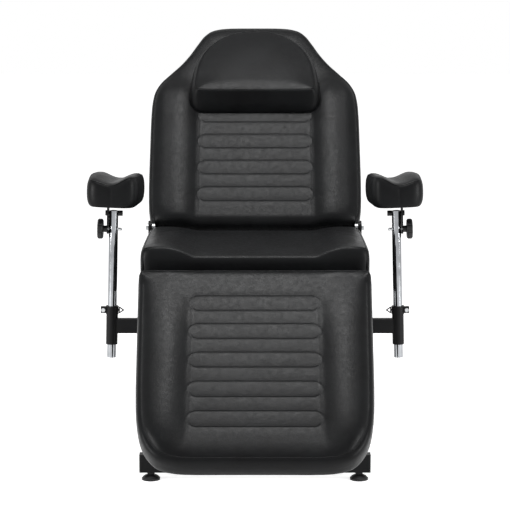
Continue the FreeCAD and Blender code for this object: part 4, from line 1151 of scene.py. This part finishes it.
class ChairSettings(bpy.types.PropertyGroup):
    """All settings of the chair"""

    upholstery: PointerProperty(type=UpholsterySettings)
    stage: PointerProperty(type=StageSettings)


# Operators


class CHAIR_OT_cushions(bpy.types.Operator):
    """Seat, backrest and leg rest cushions"""

    bl_idname = "chair.cushions"
    bl_label = "Cushions"

    def execute(self, context):
        for key in PANELS:
            make_cushion(PanelCushion(key))
        return {"FINISHED"}


class CHAIR_OT_pillow(bpy.types.Operator):
    """Head pillow on the backrest"""

    bl_idname = "chair.pillow"
    bl_label = "Head pillow"

    def execute(self, context):
        make_cushion(PillowCushion())
        return {"FINISHED"}


class CHAIR_OT_pads(bpy.types.Operator):
    """Arm pads on both sides"""

    bl_idname = "chair.pads"
    bl_label = "Arm pads"

    def execute(self, context):
        make_cushion(PadCushion())
        return {"FINISHED"}


class CHAIR_OT_seams(bpy.types.Operator):
    """Piping on every seam, and the stitches of the sewn ovals"""

    bl_idname = "chair.seams"
    bl_label = "Piping and stitches"

    def execute(self, context):
        sizes = context.scene.chair.upholstery
        piping = piping_tree()
        stitches = stitch_tree("stitches", "thread")
        staples = stitch_tree("staples", "zinc")

        def lay(name, body, lines, tree, **values):
            item = grown(name, line_object(name + "_path", lines), tree, values)
            finish_piece(item, body)

        panels = [PanelCushion(key) for key in PANELS]
        for cushion in (*panels, PillowCushion(), PadCushion()):
            line, closed = cushion.welt()
            radius = sizes.piping * (0.8 if cushion.key == "pad" else 1.0)
            for name, body, where, _ in cushion.places():
                name = name.replace("upholstery", "piping")
                lay(name, body, [(where.place(line), closed)], piping, Radius=radius)
        for panel in panels:
            line = panel.frame.place(panel.lining())
            lay(
                f"{panel.key}_staples", panel.body, [(line, True)], staples,
                Pitch=sizes.staple_pitch, Length=sizes.staple, Radius=sizes.wire,
            )
        for panel in panels:
            lines = [(panel.frame.place(line), True) for line in panel.threads()]
            if lines:
                lay(
                    f"{panel.key}_stitches", panel.body, lines, stitches,
                    Pitch=sizes.pitch, Length=sizes.stitch, Radius=sizes.thread,
                )
        return {"FINISHED"}


# The CAD pieces of each finish, and those of each arm support
FINISH_OF_NODES = {
    "powder": (
        "base_crossbars", "base_rails", "frame_posts", "seat_rails", "seat_cross_tubes",
        "strut_tubes", "strut_lugs", "back_pivot_plates", "leg_pivot_plates", "arm_stubs",
        "back_arms", "back_side_tubes", "back_cross_tubes", "back_strut_clevis", "leg_ears",
        "leg_side_tubes", "leg_cross_tubes", "leg_strut_clevis", "back_spring_lever",
        "leg_spring_lever",
    ),
    "nylon": (
        "crossbar_caps", "foot_front_left", "foot_rear_left", "foot_front_right",
        "foot_rear_right",
    ),
    "zinc": ("frame_bolts",),
    "liner": ("seat_board", "back_board", "leg_board"),
    "enamel": ("back_spring_barrel", "leg_spring_barrel"),
    "chrome": ("back_spring_rod", "leg_spring_rod"),
}
FINISH_OF_SIDES = {
    "powder": ("sleeve", "collar", "pad_bracket"), "zinc": ("collar_bolt", "knob_stud"),
    "oxide": ("clamp_handle", "tilt_bolt"), "chrome": ("pole",), "liner": ("pad_board",),
    "nylon": ("knob",),
}


class CHAIR_OT_frame(bpy.types.Operator):
    """Finishes of the steel, plastic and plywood pieces"""

    bl_idname = "chair.frame"
    bl_label = "Frame finishes"

    def execute(self, context):
        table = [(name, node) for name, nodes in FINISH_OF_NODES.items() for node in nodes]
        for side in ("left", "right"):
            for name, parts in FINISH_OF_SIDES.items():
                table += [(name, f"{side}_{part}") for part in parts]
        for name, node in table:
            for place in frame["nodes"][node].material_slots:
                place.material = finish_of(name)
        return {"FINISHED"}


class CHAIR_OT_stage(bpy.types.Operator):
    """Floor, lamps, background and camera"""

    bl_idname = "chair.stage"
    bl_label = "Stage"

    def execute(self, context):
        scene = context.scene
        stage = scene.chair.stage
        scene.view_settings.view_transform = "Standard"
        lens = bpy.data.cameras.new("Camera")
        lens.sensor_width, lens.lens, lens.clip_end = 36.0, stage.lens, 60.0
        camera = linked("Camera", lens)
        camera.location = (0, -stage.distance, stage.height)
        camera.rotation_euler = (math.pi / 2 - stage.pitch, 0, 0)
        scene.camera = camera

        world = bpy.data.worlds.new("Studio")
        scene.world = world
        world.use_nodes = True
        tree = world.node_tree
        tree.nodes.clear()
        seen = background_rays(tree)
        strength = add_node(tree, "ShaderNodeMapRange", {"Value": seen, "To Min": 0.06, "To Max": 1.0})
        shader = add_node(
            tree, "ShaderNodeBackground",
            {"Color": (1, 1, 1, 1), "Strength": strength.outputs["Result"]},
        )
        add_node(tree, "ShaderNodeOutputWorld", {"Surface": shader.outputs[0]})
        studio_floor(30.0)

        # Place, aim, width and height in metres, and power in watts
        lamps = (
            ("top_softbox", (0.0, -0.4, 3.4), (0.0, -0.1, 0.6), 1.5, 0.9, 86.0),
            ("left_striplight", (-3.2, -1.9, 1.1), (0.0, 0.0, 0.6), 0.4, 1.8, 72.0),
            ("right_striplight", (3.2, -1.9, 1.1), (0.0, 0.0, 0.6), 0.4, 1.8, 72.0),
        )
        for name, place, aim, wide, tall, power in lamps:
            light = bpy.data.lights.new(name, "AREA")
            light.shape, light.size, light.size_y, light.energy = "RECTANGLE", wide, tall, power
            lamp = linked(name, light)
            lamp.location = place
            lamp.rotation_euler = (Vector(aim) - Vector(place)).to_track_quat("-Z", "Y").to_euler()
        return {"FINISHED"}


def background_rays(tree):
    """1 for rays that see the background itself, 0 for those that light the chair."""
    path = add_node(tree, "ShaderNodeLightPath")
    seen = path.outputs["Is Camera Ray"]
    for kind in ("Is Glossy Ray", "Is Transmission Ray"):
        seen = add_node(
            tree, "ShaderNodeMath", {0: seen, 1: path.outputs[kind]}, operation="MAXIMUM"
        ).outputs[0]
    return seen


def studio_floor(size):
    """A pale floor that looks white and keeps the chair's shadow."""
    half = size / 2
    corners = [(-half, -half, 0), (half, -half, 0), (half, half, 0), (-half, half, 0)]
    mesh = bpy.data.meshes.new("floor")
    mesh.from_pydata(corners, [], [(0, 1, 2, 3)])
    paint = Finish(
        "painted_studio_floor", Base_Color=linear("#f4f4f4"), Roughness=0.85,
        Emission_Color=(1, 1, 1, 1),
    )
    tree = paint.tree
    away = add_node(tree, "ShaderNodeVectorMath", {0: object_space(tree)}, operation="LENGTH")
    fade = add_node(
        tree, "ShaderNodeMapRange",
        {"Value": away.outputs["Value"], "From Min": 0.8, "From Max": 4.0, "To Min": 0.8, "To Max": 1.0},
        interpolation_type="SMOOTHSTEP",
    )
    glow = add_node(
        tree, "ShaderNodeMath", {0: background_rays(tree), 1: fade.outputs["Result"]},
        operation="MULTIPLY",
    )
    tree.links.new(glow.outputs[0], paint.shader.inputs["Emission Strength"])
    mesh.materials.append(paint.material)
    return linked("floor", mesh)


class CHAIR_PT_panel(bpy.types.Panel):
    """Lists the chair's settings and operators"""

    bl_idname = "CHAIR_PT_panel"
    bl_label = "Treatment chair"
    bl_space_type = "VIEW_3D"
    bl_region_type = "UI"
    bl_category = "Chair"

    def draw(self, context):
        chair = context.scene.chair
        for group in (chair.upholstery, chair.stage):
            box = self.layout.box()
            for name in group.bl_rna.properties.keys():
                if name not in {"rna_type", "name"}:
                    box.prop(group, name)
        for operator in OPERATORS:
            self.layout.operator(operator.bl_idname)


OPERATORS = (
    CHAIR_OT_frame, CHAIR_OT_cushions, CHAIR_OT_pillow, CHAIR_OT_pads, CHAIR_OT_seams,
    CHAIR_OT_stage,
)
CLASSES = (UpholsterySettings, StageSettings, ChairSettings, *OPERATORS, CHAIR_PT_panel)


def register():
    for item in CLASSES:
        bpy.utils.register_class(item)
    bpy.types.Scene.chair = PointerProperty(type=ChairSettings)


def unregister():
    del bpy.types.Scene.chair
    for item in reversed(CLASSES):
        bpy.utils.unregister_class(item)


def main():
    register()
    bpy.ops.chair.frame()
    bpy.ops.chair.cushions()
    bpy.ops.chair.pillow()
    bpy.ops.chair.pads()
    bpy.ops.chair.seams()
    bpy.ops.chair.stage()


if __name__ == "__main__":
    main()
